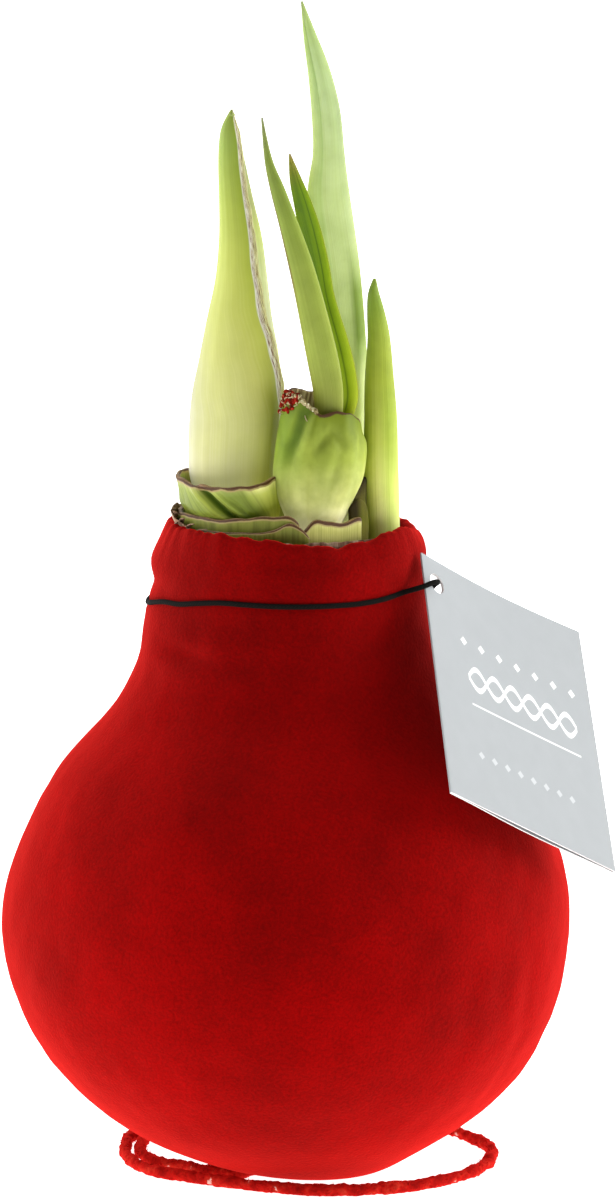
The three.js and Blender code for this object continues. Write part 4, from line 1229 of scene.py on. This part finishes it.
TAG_WIDTH, TAG_DROP = 43.2, 48.5
CARD = 0.24
FOLD_HALF = 0.25               # half the folded card's thickness at the fold
FOLD_TAKES = 0.4               # how much of each leaf's width bends round in the fold
BOW = 0.9                      # how far both leaves' tops bow in
BACK_LEAN = 0.45               # how far in the back leaf's open edge stands
BACK_SAG = 0.5                 # how much further the middle of its bottom edge hangs in
FLARE = 0.035                  # the card is cut this much wider at the bottom
HOLE_RADIUS = 1.9
TAG_HOLE = Vector((19.5, -8.4, 106.8))
TAG_HOLE_IN, TAG_HOLE_DOWN = 3.6, 4.9
TAG_DOWNWARDS = Vector((0.102, -0.649, -0.754)).normalized()
TAG_OUT = Vector((0.746, -0.451, 0.489)).normalized()
TAG_ACROSS = TAG_OUT.cross(TAG_DOWNWARDS).normalized()


def on_tag(across, out, down):
    """A point on the tag in millimetres: across from the fold, out of its middle, down from its top."""
    return (TAG_HOLE + TAG_ACROSS * (across - TAG_HOLE_IN) + TAG_OUT * out
            + TAG_DOWNWARDS * (down - TAG_HOLE_DOWN))


def tag_place(u, v):
    side = 2 * u - 1
    across = max(0, abs(side) * TAG_WIDTH - FOLD_TAKES)
    down = (1 - v) * TAG_DROP
    middle = math.sin(math.pi * across / TAG_WIDTH)
    if abs(side) * TAG_WIDTH < 0.5:
        return on_tag(0, 0.8 * FOLD_HALF, down)
    across *= 1 + FLARE * (1 - v)
    bow = -BOW * v * v * middle
    if side > 0:
        return on_tag(across, FOLD_HALF + bow, down)
    lean = (BACK_LEAN - FOLD_HALF) * across / TAG_WIDTH + BACK_SAG * (1 - v) * middle ** 2
    return on_tag(across, -FOLD_HALF - lean + bow, down)


BRAID_PITCH, BRAID_DOWN, BRAID_SWING, BRAID_HALF = 4.8, 21.6, 2.1, 0.55
LINE_DOWN, LINE_HALF = 27.2, 0.18
PRINT_MIDDLE, PRINT_HALF = 24, 14.4        # how the braid and the line lie across the leaf
SOFT_EDGE = 0.06
# Rows of diamonds: how far down, half height, pitch, and the middle and half length of the row.
DIAMONDS, DOTS = (14.4, 0.9, 4.8, 24, 16.8), (37.5, 0.8, 3.4, 22.1, 13.6)


def printed(tree, across, down):
    """Where the bold print lies on the card and where the faint print does; both are 1 on a line."""
    def both(first, second):
        return arithmetic(tree, "MULTIPLY", first, second)

    def less(first, second):
        return arithmetic(tree, "SUBTRACT", first, second)

    def band(middle, half, value):
        """1 where the value lies within half of the middle, with a soft edge."""
        away = arithmetic(tree, "ABSOLUTE", less(value, middle))
        return less(1, fade(tree, away, half - SOFT_EDGE, half + SOFT_EDGE))

    def strand(swing):
        """One wavy line of the braid, which swings this far up and down."""
        sway = arithmetic(tree, "SINE", both(across, math.pi / BRAID_PITCH))
        return band(0, BRAID_HALF, less(less(down, BRAID_DOWN), both(sway, swing)))

    def row(row_down, half, pitch, middle, long):
        """A row of small diamonds."""
        tooth = both(arithmetic(tree, "PINGPONG", across, pitch / 2), 2 / pitch)
        away = arithmetic(tree, "ABSOLUTE", less(down, row_down))
        return both(band(0, half, arithmetic(tree, "ADD", away, both(tooth, pitch / 2))),
                    band(middle, long, across))
    within = band(PRINT_MIDDLE, PRINT_HALF, across)
    braid = both(arithmetic(tree, "MAXIMUM", strand(BRAID_SWING), strand(-BRAID_SWING)), within)
    bold = arithmetic(tree, "MAXIMUM", braid, both(band(LINE_DOWN, LINE_HALF, down), within))
    return arithmetic(tree, "MAXIMUM", bold, row(*DIAMONDS)), row(*DOTS)


grey_card, tree, shader = new_material("grey card", Roughness=0.55, Specular_IOR_Level=0.4)
skin = placed(tree, FIBRE, 300)
bold, faint = printed(
    tree, arithmetic(tree, "MULTIPLY", arithmetic(tree, "SUBTRACT", skin["Across"], 0.5), 2 * TAG_WIDTH),
    arithmetic(tree, "MULTIPLY", arithmetic(tree, "SUBTRACT", 1, skin["Up"]), TAG_DROP))
card_colour = ramp(tree, skin["Mottle"], pigments((0.3, 165, 169, 171), (0.7, 168, 172, 174)))
faint_share = arithmetic(tree, "MULTIPLY", faint, 0.45)
card_colour = mix(tree, "MIX", faint_share, card_colour, pigment(232, 235, 236))
tree.links.new(mix(tree, "MIX", bold, card_colour, pigment(250, 250, 250)), shader.inputs["Base Color"])
bump(tree, shader, skin["Mottle"], strength=0.02, distance=0.0002)
white_edge, _, _ = new_material("white card edge", Base_Color=pigment(240, 240, 238), Roughness=0.7)

tag = shaped_sheet("hang_tag_folded", 144, 20, tag_place, [grey_card, white_edge], CARD, levels=0, rim=1)
bpy.ops.object.select_all(action="DESELECT")
bpy.ops.mesh.primitive_cylinder_add(
    vertices=40, radius=HOLE_RADIUS * MM, depth=12 * MM, location=TAG_HOLE * MM,
    rotation=TAG_OUT.to_track_quat("Z", "Y").to_euler())
punch = bpy.context.object
punch.data.materials.append(white_edge)
bpy.ops.object.select_all(action="DESELECT")
tag.select_set(True)
bpy.context.view_layer.objects.active = tag
hole = tag.modifiers.new("hole", "BOOLEAN")
hole.object = punch
hole.operation = "DIFFERENCE"
hole.material_mode = "TRANSFER"
bpy.ops.object.modifier_apply(modifier="hole")
bpy.data.objects.remove(punch)
bpy.ops.object.shade_smooth_by_angle(angle=math.radians(35))
seat(tag, "card", "hang_tag")

# ---- Elastic -------------------------------------------------------------------------------------
# A thin black elastic, knotted into a loop. It grips the neck in a groove, crosses the tag's fold and goes
# in through its hole.

ELASTIC_RADIUS = 0.47
KNOT_AT, KNOT_HALF = 0.045, 0.012      # parts of the way round the loop, behind the tag
KNOT_SWELL, KNOT_LUMPS = 0.7, 1300
GRIP = 0.35                    # how far the elastic's middle stands off the coat
GRIP_FROM, GRIP_TO, GRIP_STEP = 12, 325, 12      # degrees round the neck where it lies in the groove


def neck_radius(height):
    """The coat's radius at a height, before its dents."""
    for (low, first, _), (high, last, _) in zip(COAT_OUTLINE, COAT_OUTLINE[1:]):
        if height <= high:
            return first + (last - first) * (height - low) / (high - low)
    return COAT_OUTLINE[-1][1]


def in_knot(part):
    """How far into the knot a part of the loop lies: 1 in its middle, 0 outside it."""
    return math.sqrt(max(0, 1 - abs(part - KNOT_AT) / KNOT_HALF))


def elastic_radius(part):
    """The elastic's radius at a part of the loop, lumpy in the knot."""
    return (ELASTIC_RADIUS + KNOT_SWELL * in_knot(part) * (0.85 + 0.15 * math.cos(part * KNOT_LUMPS))) * MM


loop_points = []
for degrees in range(GRIP_FROM, GRIP_TO, GRIP_STEP):
    height = eased(CORD_HEIGHTS, degrees if degrees < 180 else degrees - 360)
    groove = dimpled(on_circle(NECK_CENTRE, neck_radius(height), degrees, height) * MM)
    loop_points.append(groove / MM + from_neck(groove).normalized() * GRIP)
# Over the fold and in through the hole: across the tag, out of it, and down from the hole's middle.
for across, out, down in ((-1.5, 0.6, 2.9), (0.1, 2, 2), (1.7, 1.7, 1.2), (TAG_HOLE_IN - 0.9, 0.3, 0.6),
                          (TAG_HOLE_IN - 0.4, -1.5, 0.4)):
    loop_points.append(on_tag(across, out, TAG_HOLE_DOWN + down))

LOOP_STEPS = 460
loop_path = []
for step in range(LOOP_STEPS):
    middle = Vector(on_curve(loop_points, step / LOOP_STEPS, closed=True)) * MM
    away = from_neck(middle).normalized()
    loop_path.append(middle + away * KNOT_SWELL * in_knot(step / LOOP_STEPS) * MM)
elastic = tube("tag_elastic", loop_path, elastic_radius, 12, closed=True)

black_elastic, tree, shader = new_material("black elastic", Roughness=0.85, Specular_IOR_Level=0.1)
place = tree.nodes.new("ShaderNodeTexCoord")
plait = tree.nodes.new("ShaderNodeTexWave")
plait.wave_type = "BANDS"
plait.bands_direction = "DIAGONAL"
plait.inputs["Scale"].default_value = 1.0
turns = tree.nodes.new("ShaderNodeMapping")
turns.inputs["Scale"].default_value = (6, 160, 1)
tree.links.new(place.outputs["UV"], turns.inputs["Vector"])
tree.links.new(turns.outputs["Vector"], plait.inputs["Vector"])
tree.links.new(ramp(tree, plait.outputs["Fac"], pigments((0.2, 6, 6, 5), (0.8, 26, 26, 22))),
               shader.inputs["Base Color"])
bump(tree, shader, plait.outputs["Fac"], strength=0.7, distance=0.0002)
elastic.data.materials.append(black_elastic)
seat(elastic, "elastic", "tag_cord")
